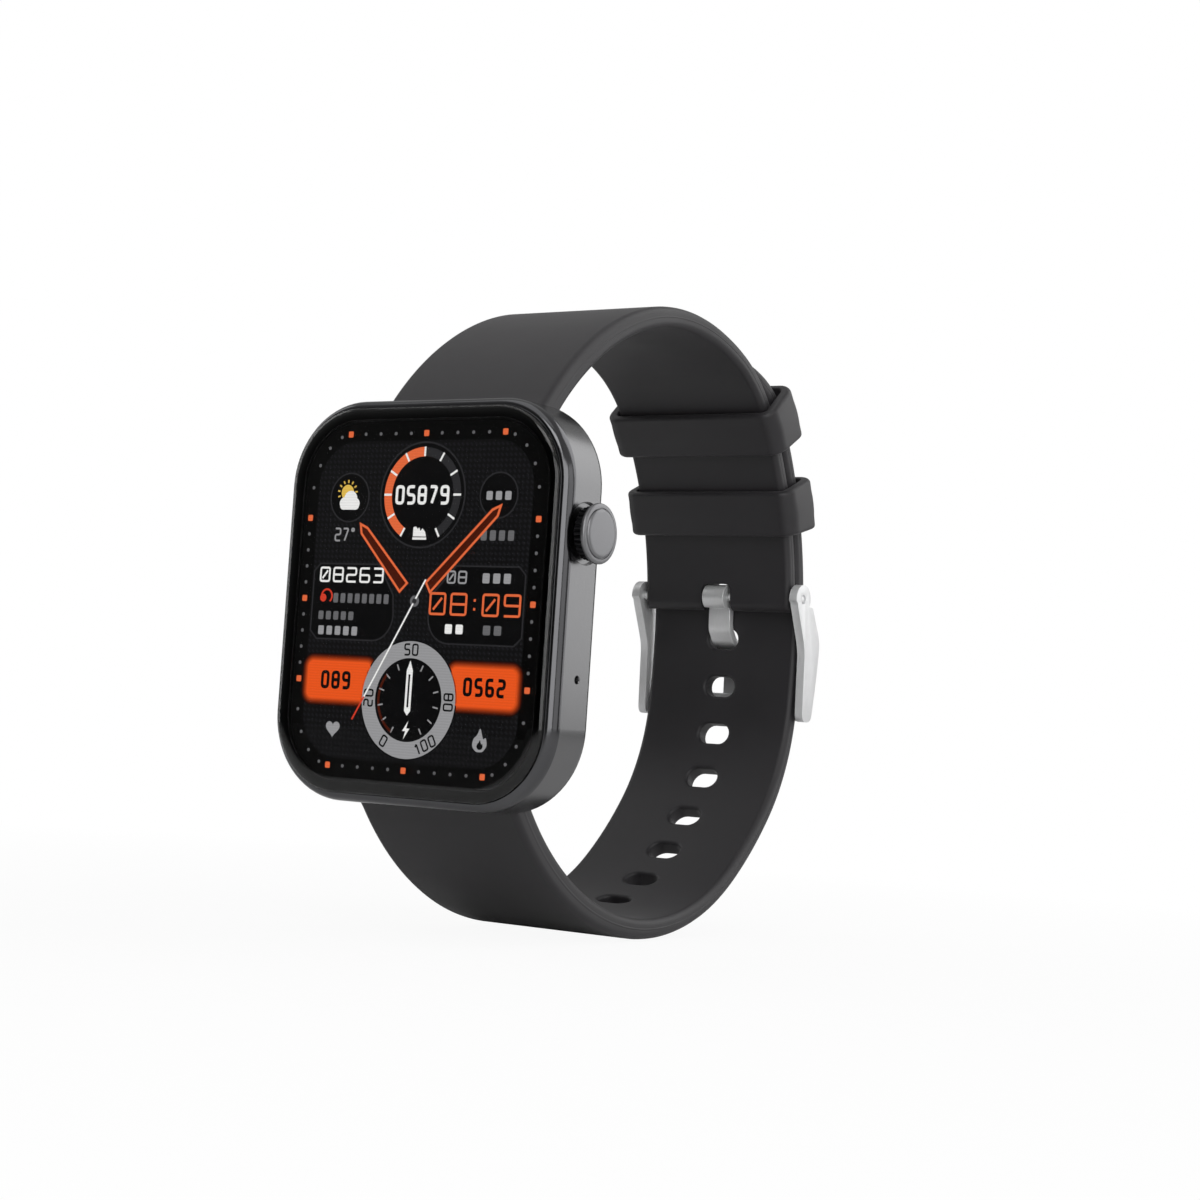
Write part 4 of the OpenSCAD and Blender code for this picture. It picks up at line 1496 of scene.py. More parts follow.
@dataclass
class Buckle:
    """The steel frame, its pin and the tang.

    Places are y and z steps from the pin.

    Attributes:
        arm_t: Thickness of an arm.
        arm_x: Where an arm's inner face is, along X.
        pin_r: Radius of the pin.
        tang_w: Width of the tang.
        tang_r: Outer radius of the tang's rolled eye.
        tang_sink: How far the eye's middle lies inwards of the pin.
    """

    arm_t: float = 1.1
    arm_x: float = 11.5
    pin_r: float = 0.6
    tang_w: float = 3.2
    tang_r: float = 1.65
    tang_sink: float = 0.3

    def pin_at(self) -> np.ndarray:
        """Place of the pin: half the strap's thickness above its wrist side."""
        return SHORT_CHAIN.place(0.0, STRAP_T / 2, SHORT_CHAIN.length() - Strap.pin_from_end)[1:]

    def arm_outline(self) -> np.ndarray:
        """A round eye about the pin, flowing into a bent bar that thins to the far end."""
        turn = np.radians(np.linspace(-25, 188, 20))
        eye = 1.9 * around(turn)
        leg = filleted(
            [
                (-1.9, 0.2), (1.2, -6.5), (1.5, -15.8), (3.9, -15.8), (4.7, -10.4), (5.15, -5.2),
                (2.0, 0.2),
            ],
            1.3, 6,
        )
        keep = leg[leg[:, 1] < -0.6]
        return np.concatenate([eye, keep])

    def build_frame(self, palette: Palette, pin: np.ndarray) -> None:
        """Two arms and the far bar, with softened edges, and the pin's rounded heads."""
        arms = [
            plate_across(self.arm_outline() + pin, side * self.arm_x, side * (self.arm_x + self.arm_t))
            for side in (-1, 1)
        ]
        frame = piece("buckle_bow", arms[0].joined(arms[1]))
        bar = filleted([(3.2, -15.7), (4.2, -15.7), (4.95, -12.8), (4.15, -12.4)], 0.4, 4) + pin
        carve(frame, plate_across(bar, -self.arm_x - 0.15, self.arm_x + 0.15), "UNION")
        eyes = rod_cutter(self.pin_r, 14)
        carve(frame, eyes.moved(0, *pin))
        soften(frame, 0.22, 50)
        dress(frame, Body.BUCKLE, [palette.steel], ("buckle_frame",))
        end = self.arm_x + self.arm_t
        half = [(0, end - 0.06), (0.25, end - 0.08), (0.42, end - 0.14), (self.pin_r - 0.005, end - 0.3)]
        rod = np.array([(r, -x) for r, x in half] + [(r, x) for r, x in half[::-1]])
        axle = piece("buckle_axle", grid_skin(turned(rod, 32, "x")).moved(0, *pin))
        dress(axle, Body.BUCKLE, [palette.steel], ("buckle_bar",))

    def build_tang(self, palette: Palette, pin: np.ndarray) -> None:
        """The tang: a plate rolled round the pin, bent through the strap and out to its tip."""
        turn = np.radians(np.linspace(-32, 240, 30))
        roll = self.tang_r * around(turn) - [self.tang_sink, 0]
        shank = filleted(
            [
                (0.1, -1.0), (0.25, -4.3), (0.95, -5.2), (1.6, -6.05), (3.9, -6.9), (5.1, -10),
                (5.2, -16.6), (6.1, -16.6), (6, -9.6), (4.6, -6.2), (2.5, -5.4), (1.9, -4.7), (1.2, -3.8),
                (1.1, -0.4),
            ],
            0.7, 4,
        )
        keep = shank[shank[:, 1] < -1.3]
        tang = piece(
            "buckle_tongue",
            plate_across(np.concatenate([roll, keep]) + pin, -self.tang_w / 2, self.tang_w / 2),
        )
        eye = rod_cutter(self.pin_r + 0.04, 3)
        carve(tang, eye.moved(0, *pin))
        soften(tang, 0.2, 50)
        dress(tang, Body.TANG, [palette.steel], ("tang",))

    def build(self, palette: Palette) -> None:
        """Builds the buckle."""
        pin = self.pin_at()
        self.build_frame(palette, pin)
        self.build_tang(palette, pin)


# ---------------------------------------------------------------- display

# Seven-bar numerals in a box 1 wide and 2 high; "0" has a slanted bar and "o" is a plain nought
STROKES = {
    "0": [[(0, 0), (1, 0), (1, 2), (0, 2), (0, 0)], [(0.22, 0.42), (0.78, 1.58)]],
    "1": [[(0.35, 1.6), (0.75, 2), (0.75, 0)]], "2": [[(0, 2), (1, 2), (1, 1), (0, 1), (0, 0), (1, 0)]],
    "3": [[(0, 2), (1, 2), (1, 0), (0, 0)], [(0.15, 1), (1, 1)]],
    "4": [[(0, 2), (0, 1), (1, 1)], [(1, 2), (1, 0)]],
    "5": [[(1, 2), (0, 2), (0, 1), (1, 1), (1, 0), (0, 0)]],
    "6": [[(1, 2), (0, 2), (0, 0), (1, 0), (1, 1), (0.2, 1)], [(0, 1), (0.3, 1)]],
    "7": [[(0, 2), (1, 2), (0.3, 0)]], "8": [[(0, 0), (1, 0), (1, 2), (0, 2), (0, 0)], [(0, 1), (1, 1)]],
    "9": [[(0.8, 1), (0, 1), (0, 2), (1, 2), (1, 0), (0, 0)], [(0.7, 1), (1, 1)]],
    "o": [[(0, 0), (1, 0), (1, 2), (0, 2), (0, 0)]],
    ":": [[(0.5, 0.45), (0.5, 0.7)], [(0.5, 1.3), (0.5, 1.55)]],
    "*": [[(0.1, 1.6), (0.5, 1.6), (0.5, 2), (0.1, 2), (0.1, 1.6)]],
}


def softened(path: np.ndarray, reach: float) -> np.ndarray:
    """Rounds the corners of a line that may be closed.

    Args:
        path: Points; the last repeats the first if the line is closed.
        reach: How far along its sides each corner is rounded.

    Returns:
        Points of the rounded line.
    """
    if len(path) < 3:
        return path
    if np.allclose(path[0], path[-1]):
        round_trip = filleted(path[:-1], reach, 3)
        return np.concatenate([round_trip, round_trip[:1]])
    rounded = filleted(path, reach, 3).reshape(len(path), -1, 2)
    return np.concatenate([path[:1], rounded[1:-1].reshape(-1, 2), path[-1:]])


class Ink(Enum):
    """Colours of the display's picture."""

    WHITE = "#f4f4f2"
    GREY = "#9c9c9e"
    DIM = "#6a6a6c"
    FAINT = "#2c2c2e"
    ORANGE = "#ea6d3f"
    FLAME = "#f2591e"
    DEEP = "#481505"
    AMBER = "#e9c257"
    RED = "#d8402a"
    BLACK = "#050506"


@dataclass
class Picture:
    """Collects flat shapes by colour and layer, and turns them into thin raised prints.

    Attributes:
        base: Plane of the lowest layer.
        step: Height of a layer.
        shapes: The prints of each colour.
    """

    base: float = -9.93
    step: float = 0.012
    shapes: dict = field(default_factory=dict)

    def fill(self, ink: Ink, layer: int, outline: np.ndarray) -> None:
        """Adds a filled outline of x and z."""
        outline = np.asarray(outline, float)
        y = self.base - self.step * np.array([layer, layer + 0.9])
        grid = np.stack([lifted(outline, v) for v in y])
        self.shapes.setdefault(ink, []).append(grid_skin(grid))

    def line(self, ink: Ink, layer: int, points: list, width: float) -> None:
        """Adds a line of even width: each point moves sideways along the mean of its normals."""
        at = np.asarray(points, float)
        closed = np.allclose(at[0], at[-1]) and len(at) > 2
        if closed:
            at = at[:-1]
            run = np.roll(at, -1, 0) - at
            before = np.roll(run, 1, 0)
        else:
            run = np.diff(at, axis=0)
            run = np.concatenate([run, run[-1:]])
            before = np.concatenate([run[:1], run[:-1]])
        unit = run / np.linalg.norm(run, axis=1, keepdims=True)
        unit_b = before / np.linalg.norm(before, axis=1, keepdims=True)
        normal = np.stack([-unit[:, 1], unit[:, 0]], 1) + np.stack([-unit_b[:, 1], unit_b[:, 0]], 1)
        normal /= np.maximum((normal**2).sum(1, keepdims=True), 0.6) / 2
        left, right = at + normal * width / 2, at - normal * width / 2
        if not closed:
            self.fill(ink, layer, np.concatenate([left, right[::-1]]))
            return
        y = self.base - self.step * np.array([layer, layer + 0.9])
        loops = [(left, y[0]), (right, y[0]), (right, y[1]), (left, y[1])]
        grid = np.stack([lifted(p, v) for p, v in loops])
        self.shapes.setdefault(ink, []).append(grid_skin(grid, Ends.RING))

    def arc(
        self, ink: Ink, layer: int, centre: tuple, radius: float, width: float, start: float, turn: float
    ) -> None:
        """Adds an arc; angles go clockwise from twelve o'clock, in degrees."""
        steps = max(8, int(abs(turn) / 5))
        angle = np.radians(start + np.linspace(0, turn, steps + 1))
        ring = np.array(centre) + radius * np.stack([np.sin(angle), np.cos(angle)], 1)
        self.line(ink, layer, ring, width)

    def disc(self, ink: Ink, layer: int, centre: tuple, radius: float, steps: int = 48) -> None:
        """Adds a disc."""
        angle = np.linspace(0, 2 * math.pi, steps, endpoint=False)
        self.fill(ink, layer, np.array(centre) + radius * around(angle))

    def ticks(
        self, ink: Ink, layer: int, centre: tuple, inner: float, outer: float, angles: np.ndarray,
        width: float,
    ) -> None:
        """Adds short radial lines."""
        for a in np.radians(angles):
            ray = np.array([math.sin(a), math.cos(a)])
            self.line(ink, layer, [np.array(centre) + inner * ray, np.array(centre) + outer * ray], width)

    def number(
        self, ink: Ink, layer: int, text: str, span: tuple, low: float, height: float, weight: float,
        soft: float = 0.24, turn: float = 0.0,
    ) -> None:
        """Adds numerals that fill a span.

        Args:
            ink: Colour.
            layer: Layer.
            text: The numerals.
            span: Left and right ends along x.
            low: Bottom along z.
            height: Height.
            weight: Stroke width.
            soft: How far along its strokes each corner is rounded.
            turn: Turn about the middle, in degrees.
        """
        share = np.array([0.5 if letter == ":" else 1.0 for letter in text])
        pitch = (span[1] - span[0]) / share.sum()
        starts = span[0] + pitch * (np.cumsum(share) - share)
        middle = np.array([(span[0] + span[1]) / 2, low + height / 2])
        c, s = math.cos(math.radians(turn)), math.sin(math.radians(turn))
        for letter, start, part in zip(text, starts, share):
            cell = pitch * part * 0.8 - weight
            for stroke in STROKES[letter]:
                at = np.array(stroke, float)
                x = start + pitch * part * 0.1 + weight / 2 + at[:, 0] * cell
                z = low + weight / 2 + at[:, 1] / 2 * (height - weight)
                path = softened(np.stack([x, z], 1), soft)
                off = path - middle
                spun = off @ np.array([[c, s], [-s, c]])
                self.line(ink, layer, spun + middle, weight)

    def blocks(self, ink: Ink, layer: int, count: int, span: tuple, low: float, height: float) -> None:
        """Adds a row of plain rounded bars in place of a word."""
        pitch = (span[1] - span[0]) / count
        bar = rounded_outline(pitch * 0.66, height * 0.8, min(0.16, height * 0.3), 3)[0]
        for k in range(count):
            middle = np.array([span[0] + pitch * (k + 0.5), low + height / 2])
            self.fill(ink, layer, bar + middle)


@dataclass
class Display:
    """The lit display under the glass.

    Attributes:
        size: Width, height and corner radius of the picture.
        edge_x: How far the side markers are from the middle.
        edge_z: How far the top and bottom markers are from the middle.
        top_dial: Middle of the step counter.
        low_dial: Middle of the power dial.
        bars: Left end, right end, numerals and their span of each lit bar.
        bar_z: Middle of the lit bars along z.
        bar_h: Height of the lit bars.
        bar_r: Corner radius of the lit bars.
    """

    size: tuple[float, float, float] = (33.2, 39.6, 7.0)
    edge_x: float = 15.72
    edge_z: float = 18.5
    top_dial: tuple[float, float] = (0.0, 11.7)
    low_dial: tuple[float, float] = (0.0, -10.8)
    bars: tuple = ((-14.4, -5.4, "o89", (-12.6, -8.1)), (5.6, 14.3, "o562", (7.2, 13.1)))
    bar_z: float = -9.05
    bar_h: float = 4.1
    bar_r: float = 0.7

    def markers(self, art: Picture) -> None:
        """Hour markers and minute dots round the edge."""
        square = rounded_outline(0.68, 0.68, 0.12, 3)[0]
        for x, z in ((0, 1), (-0.678, 1), (0.678, 1), (0, -1), (-0.678, -1), (0.678, -1)):
            art.fill(Ink.ORANGE, 2, square + np.array([x * self.edge_x, z * self.edge_z]))
        for x in (-1, 1):
            for z in (-0.491, 0, 0.491):
                art.fill(Ink.ORANGE, 2, square + np.array([x * self.edge_x, z * self.edge_z]))
        minutes = [k for k in range(-4, 5) if k]
        across, up = 10.66 / 5, 9.08 / 5
        flat = [(k * across, z * self.edge_z) for k in minutes for z in (-1, 1)]
        flat += [(x * self.edge_x, k * up) for k in minutes for x in (-1, 1)]
        for a in (14, 34, 54, 74):
            c, s = math.cos(math.radians(a)), math.sin(math.radians(a))
            flat += [(x * (10.5 + 5.2 * c), z * (10.6 + 7.9 * s)) for x in (-1, 1) for z in (-1, 1)]
        for place in flat:
            art.disc(Ink.DIM, 2, place, 0.2, 10)

    def small_rounds(self, art: Picture) -> None:
        """The weather round, the day round and the words under them."""
        weather, day = (-10.2, 11.4), (10.33, 11.64)
        art.disc(Ink.BLACK, 1, weather, 2.7)
        art.arc(Ink.FAINT, 2, weather, 2.72, 0.16, 0, 360)
        sun = (-10.55, 11.95)
        art.disc(Ink.AMBER, 3, sun, 0.88, 24)
        art.ticks(Ink.AMBER, 3, sun, 1.08, 1.42, np.arange(-110, 90, 28), 0.17)
        for x, z, r in ((-10.9, 10.75, 0.68), (-10.05, 11.2, 0.95), (-9.35, 10.72, 0.62)):
            art.disc(Ink.WHITE, 4, (x, z), r, 24)
        art.fill(Ink.WHITE, 4, rounded_outline(2.7, 0.95, 0.45, 4)[0] + np.array([-10.15, 10.5]))
        art.number(Ink.GREY, 3, "27*", (-12.1, -8.7), 6.45, 1.55, 0.2)
        art.disc(Ink.BLACK, 1, day, 2.45)
        art.arc(Ink.FAINT, 2, day, 2.47, 0.16, 0, 360)
        art.blocks(Ink.GREY, 3, 3, (8.5, 12.2), 11.0, 1.2)
        art.blocks(Ink.DIM, 3, 4, (8.1, 12.9), 6.6, 1.4)

    def top_round(self, art: Picture) -> None:
        """The step counter: an orange arc, white ticks and five numerals."""
        at = self.top_dial
        art.disc(Ink.BLACK, 1, at, 5.8, 72)
        art.arc(Ink.FAINT, 2, at, 5.8, 0.18, 0, 360)
        art.arc(Ink.FAINT, 2, at, 4.75, 1.0, 0, 150)
        art.arc(Ink.ORANGE, 3, at, 4.75, 1.05, 0, -150)
        art.ticks(Ink.WHITE, 4, at, 4.25, 5.3, np.arange(-150, 151, 30), 0.24)
        art.number(Ink.WHITE, 4, "o5879", (-3.85, 3.85), 10.6, 2.15, 0.34, soft=0.34)
        art.fill(Ink.WHITE, 4, [(-0.95, 6.75), (0.95, 6.75), (0.95, 7.0), (-0.95, 7.0)])
        art.fill(
            Ink.WHITE, 4,
            [
                (-0.9, 7.1), (0.9, 7.1), (0.75, 7.6), (0.35, 8.0), (0.1, 7.7), (-0.1, 8.1), (-0.3, 7.9),
                (-0.55, 8.2), (-0.9, 8.1),
            ],
        )

    def panels(self, art: Picture) -> None:
        """The two outlined panels with their numerals and bars."""
        for side, base in ((-1, 2.7), (1, 1.74)):
            bend = np.radians(np.linspace(180, 270, 9))
            curve = np.array(
                [(side * (base + 2.6 + 2.8 * math.cos(b) + 0.4), -1.6 + 2.9 * math.sin(b)) for b in bend]
            )
            frame = np.concatenate(
                [
                    [(side * 5.3, 3.95), (side * (base + 0.4), 0.6)], curve,
                    [
                        (side * 13.6, -4.5), (side * 14.55, -3.6), (side * 14.55, 3.1),
                        (side * 13.7, 3.95), (side * 5.3, 3.95),
                    ],
                ]
            )
            art.fill(Ink.BLACK, 1, frame[:-1])
            art.line(Ink.FAINT, 2, frame, 0.16)
        art.number(Ink.WHITE, 3, "08263", (-13.9, -4.4), 1.85, 1.75, 0.24)
        art.disc(Ink.RED, 3, (-13.0, 0.1), 0.45, 16)
        art.arc(Ink.RED, 3, (-12.5, 0.3), 0.75, 0.2, -120, 260)
        art.blocks(Ink.DIM, 3, 8, (-11.7, -3.5), -0.55, 1.35)
        art.blocks(Ink.DIM, 3, 5, (-13.7, -8.3), -2.45, 1.2)
        art.blocks(Ink.GREY, 3, 5, (-13.6, -7.6), -4.15, 1.25)
        art.number(Ink.GREY, 3, "08", (4.0, 7.0), 2.0, 1.45, 0.2)
        art.blocks(Ink.GREY, 3, 3, (8.7, 12.9), 2.0, 1.35)
        art.number(Ink.ORANGE, 3, "08:09", (1.7, 14.5), -1.45, 2.5, 0.27)
        art.blocks(Ink.WHITE, 3, 2, (4.1, 7.0), -3.55, 1.3)
        art.blocks(Ink.DIM, 3, 2, (9.2, 12.1), -3.55, 1.3)

    def pills(self, art: Picture) -> None:
        """The two lit bars with dark numerals."""
        for low, high, text, span in self.bars:
            shape = rounded_outline(high - low, self.bar_h, self.bar_r, 5)[0]
            shape = shape + np.array([(low + high) / 2, self.bar_z])
            art.fill(Ink.FLAME, 3, shape)
            art.number(Ink.BLACK, 4, text, span, -10.05, 2.05, 0.38, soft=0.36)

    def low_round(self, art: Picture) -> None:
        """The power dial: a grey ring with dark numerals, ticks, a pointer and a bolt."""
        at = self.low_dial
        ring = 5.5
        art.disc(Ink.BLACK, 3, at, 6.6, 72)
        art.arc(Ink.GREY, 4, at, ring, 1.85, 0, 360)
        # Angle from the top, numerals and their own turn
        labels = ((0, "5o", 0), (90, "8o", -90), (151, "1oo", 28), (-147, "o", -30), (-90, "2o", 90))
        for a, text, turn in labels:
            x, z = at[0] + ring * math.sin(math.radians(a)), at[1] + ring * math.cos(math.radians(a))
            wide = 0.55 * len(text)
            art.number(
                Ink.BLACK, 5, text, (x - wide, x + wide), z - 0.68, 1.36, 0.2, soft=0.22, turn=turn
            )
        art.ticks(Ink.GREY, 4, at, 3.5, 4.2, np.arange(-150, 151, 25), 0.16)
        art.arc(Ink.DEEP, 4, at, 4.1, 0.3, -150, 100)
        art.fill(
            Ink.WHITE, 5,
            [(-0.42, -12.0), (0, -12.5), (0.42, -12.0), (0.42, -7.6), (0, -6.5), (-0.42, -7.6)],
        )
        art.fill(Ink.BLACK, 6, [(-0.12, -11.6), (0.12, -11.6), (0.12, -8.0), (-0.12, -8.0)])
        art.fill(
            Ink.WHITE, 5,
            [(0.25, -13.1), (-0.5, -14.2), (-0.05, -14.2), (-0.3, -15.1), (0.5, -13.9), (0.05, -13.9)],
        )

    def icons(self, art: Picture) -> None:
        """A heart and a flame."""
        t = np.linspace(0, 2 * math.pi, 32, endpoint=False)
        heart = np.stack(
            [16 * np.sin(t) ** 3, 13 * np.cos(t) - 5 * np.cos(2 * t) - 2 * np.cos(3 * t) - np.cos(4 * t)],
            1,
        )
        art.fill(Ink.GREY, 2, heart * 0.062 + np.array([-10.3, -14.4]))
        flame = filleted(
            [
                (0, 1.35), (-0.35, 0.5), (-0.85, 0.1), (-1.0, -0.7), (-0.45, -1.3), (0.45, -1.3),
                (1.0, -0.6), (0.8, 0.35), (0.45, 0.0),
            ],
            0.3, 3,
        )
        art.fill(Ink.GREY, 2, flame + np.array([10.0, -14.6]))
        art.fill(Ink.BLACK, 3, flame * 0.42 + np.array([10.05, -15.1]))

    def hands(self, art: Picture) -> None:
        """The outlined hour and minute hands and the thin second hand."""
        for points in (
            [(-8.3, 8.4), (-7.3, 7.98), (-1.22, 1.96), (-2.18, 1.01), (-8.1, 7.38)],
            [(10.75, 10.5), (9.69, 10.07), (1.38, 2.07), (2.02, 1.03), (10.41, 9.39)],
        ):
            art.fill(Ink.DEEP, 7, points)
            art.line(Ink.ORANGE, 8, points + points[:1], 0.27)
        art.line(Ink.WHITE, 10, [(1.35, 2.4), (-6.1, -10.7)], 0.2)
        art.line(Ink.RED, 10, [(-6.1, -10.7), (-7.6, -13.3)], 0.2)
        art.disc(Ink.DIM, 9, (0, 0), 0.62, 24)
        art.disc(Ink.FAINT, 11, (0, 0), 0.3, 16)

    def glow(self, haze: bpy.types.Material) -> None:
        """Soft light round the two lit bars: it falls as the square of the distance.

        A patch of rings goes from each bar's outline outwards, and each ring's glow is the
        square of its share of the way back.
        """
        share = np.linspace(0, 1, 8)
        skins, levels = [], []
        for low, high, *_ in self.bars:
            grow = 0.9 * share
            flat = rounded_outline(high - low + 2 * grow, self.bar_h + 2 * grow, self.bar_r + grow, 6)
            flat = flat + np.array([(low + high) / 2, self.bar_z])
            level = (1 - share) ** 2
            rows = [lifted(f, -9.945 - 0.004 * v) for f, v in zip(flat, level)]
            back = [lifted(f, -9.94) for f in (flat[-1], flat[0])]
            skins.append(grid_skin(np.stack(rows + back), Ends.RING))
            levels.append(np.repeat(np.concatenate([level, [0, 0]]), flat.shape[1]))
        skin = skins[0].joined(skins[1])
        obj = piece("display_glow", skin, weld=False)
        glow = obj.data.attributes.new("glow", "FLOAT", "POINT")
        glow.data.foreach_set("value", np.concatenate(levels))
        dress(obj, Body.WATCH, [haze])

    def build(self, palette: Palette) -> None:
        """Builds the display: a woven ground, its dark border and one print for each colour."""
        w, h, r = self.size
        rows = [(w, h, r, -8.95), (w, h, r, -9.88), (w - 0.04, h - 0.04, r - 0.02, -9.9)]
        plate = piece("display_plate", grid_skin(stacked_outlines(rows)))
        dress(plate, Body.WATCH, [palette.screen_black], ("display_panel",))
        ground = rounded_outline(29.6, 35.4, 5.2, 10)[0]
        field_rows = np.stack([lifted(ground, y) for y in (-9.905, -9.92)])
        weave = piece("display_weave_field", grid_skin(field_rows))
        dress(weave, Body.WATCH, [palette.weave])
        art = Picture()
        for draw in (
            self.markers, self.small_rounds, self.top_round, self.panels, self.pills, self.low_round,
            self.icons, self.hands,
        ):
            draw(art)
        for ink, skins in art.shapes.items():
            colour = ink.name.lower()
            obj = piece(f"display_{colour}_print", skins[0].joined(*skins[1:]), weld=False)
            dress(obj, Body.WATCH, [LitColour(f"lit_{colour}_diodes", ink.value).make()])
        self.glow(GlowingEdge("lit_orange_haze", Ink.FLAME.value, 0.95).make())


# ---------------------------------------------------------------- studio


@dataclass(frozen=True)
class Softbox:
    """One soft light.

    Attributes:
        name: Its name.
        place: Where it stands, in millimetres.
        size: Width and height in millimetres.
        power: Power in watts.
    """

    name: str
    place: tuple[float, float, float]
    size: tuple[float, float]
    power: float

    def build(self, target: Vector) -> None:
        """Puts the light in the scene, facing a target."""
        data = bpy.data.lights.new(self.name, "AREA")
        data.shape = "RECTANGLE"
        data.size, data.size_y = (v * MM for v in self.size)
        data.energy = self.power
        obj = bpy.data.objects.new(self.name, data)
        obj.location = Vector(self.place) * MM
        obj.rotation_mode = "QUATERNION"
        obj.rotation_quaternion = (target - obj.location).to_track_quat("-Z", "Y")
        bpy.context.scene.collection.objects.link(obj)


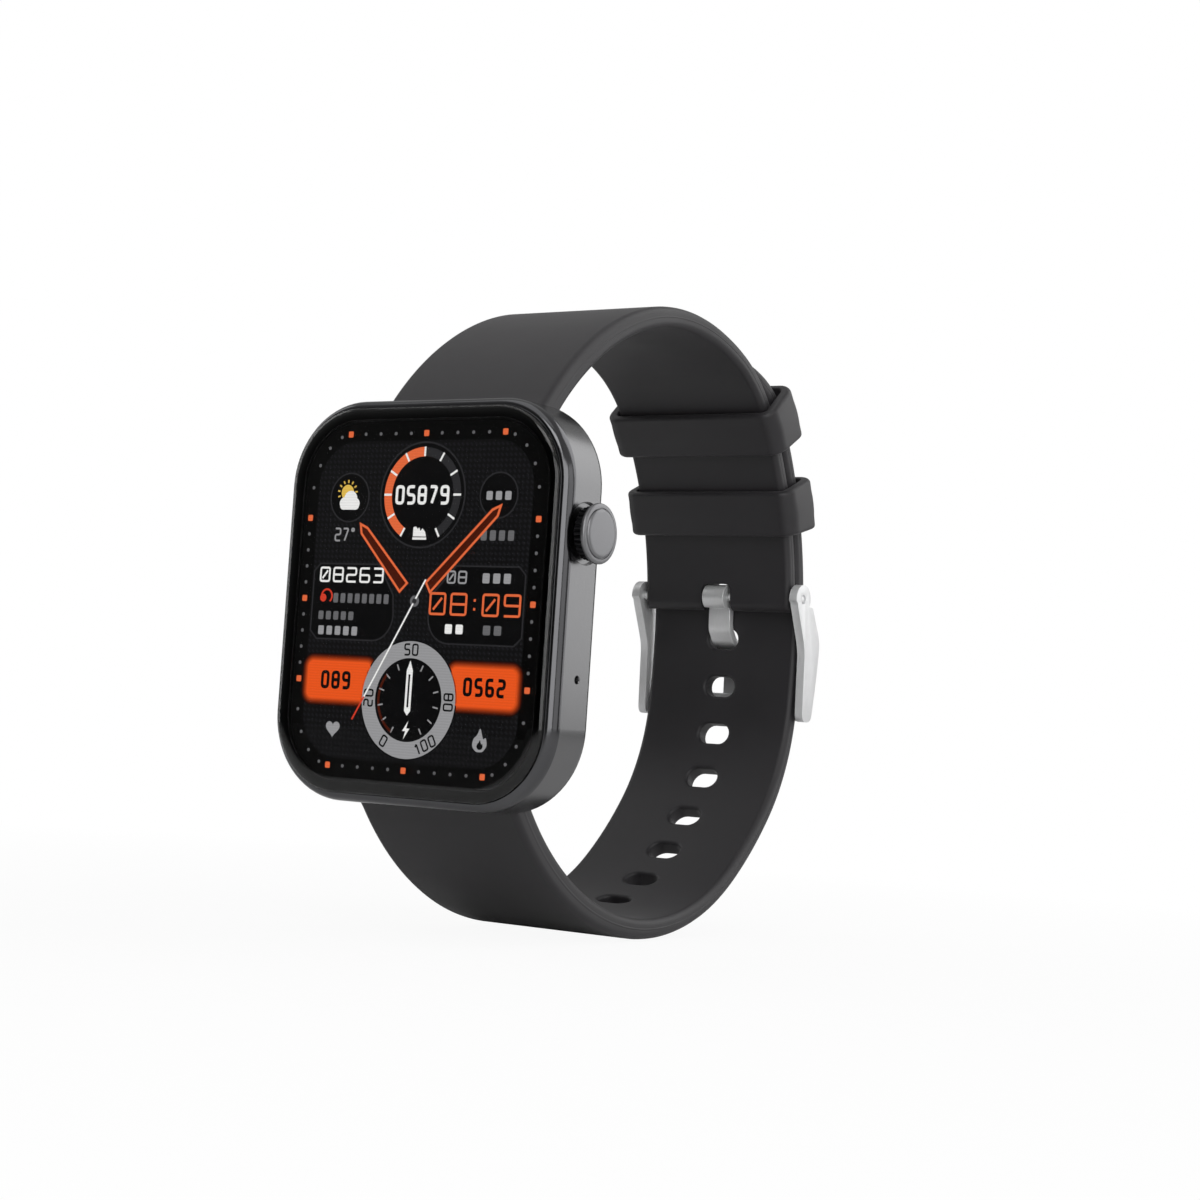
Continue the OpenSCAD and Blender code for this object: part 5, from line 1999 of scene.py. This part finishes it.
@dataclass
class Studio:
    """Floor, backdrop light, soft lights and camera.

    Attributes:
        eye: Camera place in millimetres.
        yaw: Camera direction round Z in degrees.
        pitch: Camera direction above the horizon in degrees.
        roll: Camera roll in degrees.
        lens: Focal length in millimetres.
        target: What the lights face, in millimetres.
        lights: The soft lights.
    """

    eye: tuple[float, float, float] = (157.56, -211.73, -13.1)
    yaw: float = 33.53
    pitch: float = -3.27
    roll: float = 3.77
    lens: float = 70.14
    target: tuple[float, float, float] = (4, 18, 0)
    lights: tuple = (
        Softbox("side_back_light", (250, 380, 230), (330, 560), 0.92),
        Softbox("top_light", (-60, -60, 420), (420, 320), 0.25),
        Softbox("high_front_light", (110, -300, 300), (240, 180), 0.4),
        Softbox("right_light", (470, 90, 30), (300, 420), 0.32),
        Softbox("front_right_light", (350, -320, 40), (520, 440), 1.5),
        Softbox("left_light", (-380, -40, 140), (160, 380), 0.2),
    )

    def build_camera(self) -> None:
        """The camera: its back axis comes from yaw and pitch, then it rolls about that axis."""
        data = bpy.data.cameras.new("camera")
        data.lens = self.lens
        data.clip_start = 0.005
        data.clip_end = 20
        obj = bpy.data.objects.new("camera", data)
        yaw, pitch, roll = (math.radians(v) for v in (self.yaw, self.pitch, self.roll))
        back = Vector(
            (math.sin(yaw) * math.cos(pitch), -math.cos(yaw) * math.cos(pitch), math.sin(pitch))
        )
        right = (-back).cross(Vector((0, 0, 1))).normalized()
        up = right.cross(-back)
        across = math.cos(roll) * right + math.sin(roll) * up
        over = -math.sin(roll) * right + math.cos(roll) * up
        turn = Matrix((across, over, back)).transposed().to_4x4()
        obj.matrix_world = Matrix.Translation(Vector(self.eye) * MM) @ turn
        bpy.context.scene.collection.objects.link(obj)
        bpy.context.scene.camera = obj

    def build_world(self) -> None:
        """White behind everything, and a greyer room for light and reflections.

        The room is brightest above and dim in front, so that the glass stays dark.
        """
        world = bpy.data.worlds.new("studio")
        bpy.context.scene.world = world
        world.use_nodes = True
        tree = world.node_tree
        tree.nodes.clear()
        way = add_node(tree, "ShaderNodeTexCoord").outputs["Generated"]
        split = add_node(tree, "ShaderNodeSeparateXYZ", Vector=way)
        room = add_node(
            tree, "ShaderNodeValToRGB", stops=[(0.3, "#4a4a4a"), (0.5, "#5c5c5c"), (0.75, "#a8a8a8")],
            Fac=add_node(
                tree, "ShaderNodeMapRange", Value=split.outputs["Z"], i1=-1.0, i2=1.0
            ).outputs[0],
        ).outputs["Color"]
        front = add_node(
            tree, "ShaderNodeMapRange", Value=split.outputs["Y"], i1=-0.9, i2=-0.2, i3=0.08, i4=1.0
        )
        level = add_node(tree, "ShaderNodeMath", {"operation": "MULTIPLY"}, i0=front.outputs[0], i1=0.9)
        dim = add_node(tree, "ShaderNodeBackground", Color=room, Strength=level.outputs[0])
        plain = add_node(tree, "ShaderNodeBackground", Color=(1.0, 1.0, 1.0, 1.0), Strength=1.0)
        path = add_node(tree, "ShaderNodeLightPath")
        both = add_node(
            tree, "ShaderNodeMixShader", Fac=path.outputs["Is Camera Ray"], i1=dim.outputs[0],
            i2=plain.outputs[0],
        )
        add_node(tree, "ShaderNodeOutputWorld", Surface=both.outputs[0])

    def build_floor(self, low: float) -> None:
        """A wide pale floor at a height in metres, white to the camera; painted shade darkens the paper
        far from the middle for reflections and bounced light.
        """
        half = 4.0
        mesh = bpy.data.meshes.new("floor")
        corners = [(-half, -half, low), (half, -half, low), (half, half, low), (-half, half, low)]
        mesh.from_pydata(corners, [], [(0, 1, 2, 3)])
        floor = placed("floor", mesh)
        material, tree, place = start_material("matte_paper")
        grain = add_node(tree, "ShaderNodeTexNoise", Vector=place, Scale=per_mm(2.0), Detail=2.0)
        tone = add_node(
            tree, "ShaderNodeValToRGB", stops=[(0.3, "#e2e2e2"), (0.7, "#e8e8e8")],
            Fac=grain.outputs["Fac"],
        ).outputs["Color"]
        reach = add_node(tree, "ShaderNodeVectorMath", {"operation": "LENGTH"}, i0=place)
        # Painted shade: the paper fades from its pale tone within 0.1 m of the middle to nearly black
        # #1c1c1c at 0.6 m, seen in reflections and bounced light; the camera sees the floor white
        near = add_node(
            tree, "ShaderNodeMapRange", Value=reach.outputs["Value"], i1=0.1, i2=0.6, i3=1.0, i4=0.1
        )
        lit = add_node(
            tree, "ShaderNodeMix", {"data_type": "RGBA"}, Factor=near.outputs[0], i6=linear("#1c1c1c"),
            i7=tone,
        )
        paper = add_node(
            tree, "ShaderNodeBsdfPrincipled", Base_Color=lit.outputs[2], Roughness=0.9,
            Specular_IOR_Level=0.1,
        )
        white = add_node(tree, "ShaderNodeEmission", Color=(1.0, 1.0, 1.0, 1.0), Strength=1.0)
        path = add_node(tree, "ShaderNodeLightPath")
        share = add_node(
            tree, "ShaderNodeMath", {"operation": "MULTIPLY"}, i0=path.outputs["Is Camera Ray"], i1=0.93
        )
        fade = add_node(
            tree, "ShaderNodeMapRange", Value=reach.outputs["Value"], i1=0.05, i2=0.2, i3=0.0, i4=0.07
        )
        both = add_node(
            tree, "ShaderNodeMath", {"operation": "ADD"}, i0=share.outputs[0], i1=fade.outputs[0]
        )
        seen = add_node(
            tree, "ShaderNodeMath", {"operation": "MULTIPLY"}, i0=both.outputs[0],
            i1=path.outputs["Is Camera Ray"],
        )
        shader = add_node(
            tree, "ShaderNodeMixShader", Fac=seen.outputs[0], i1=paper.outputs[0], i2=white.outputs[0]
        )
        finish_tree(tree, shader)
        mesh.materials.append(material)
        floor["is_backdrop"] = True

    def build(self, low: float) -> None:
        """Builds the studio round an object whose lowest point is at a height in metres."""
        self.build_camera()
        self.build_world()
        self.build_floor(low)
        target = Vector(self.target) * MM
        for light in self.lights:
            light.build(target)
        bpy.context.scene.view_settings.view_transform = "Standard"


def dress_inner(frame: dict, palette: Palette) -> None:
    """Gives every CAD node that still shows the finish of its slot.

    Args:
        palette: The finishes.
    """
    for part in frame["record"]["subparts"]:
        obj = frame["nodes"][part["node"]]
        if obj.hide_render:
            continue
        finish = palette.inner.get(part["material_slot"], palette.steel)
        obj.data.materials.clear()
        obj.data.materials.append(finish)
        LOG.info("%s: %s", obj.name, finish.name)


def corners_of(pair: tuple) -> list:
    """Two corners as plain lists."""
    return [list(corner) for corner in pair]


def main() -> None:
    """Builds the watch round the fixed frame."""
    logging.basicConfig(level=logging.INFO, format="%(message)s")
    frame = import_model()
    cad_box = corners_of(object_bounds())
    palette = make_palette()
    Case().build(palette)
    Crown().build(palette)
    Strap().build(palette)
    Buckle().build(palette)
    Display().build(palette)
    dress_inner(frame, palette)
    low = min(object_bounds()[0].z, cad_box[0][2])
    Studio().build(low - 0.0002)


if __name__ == "__main__":
    main()
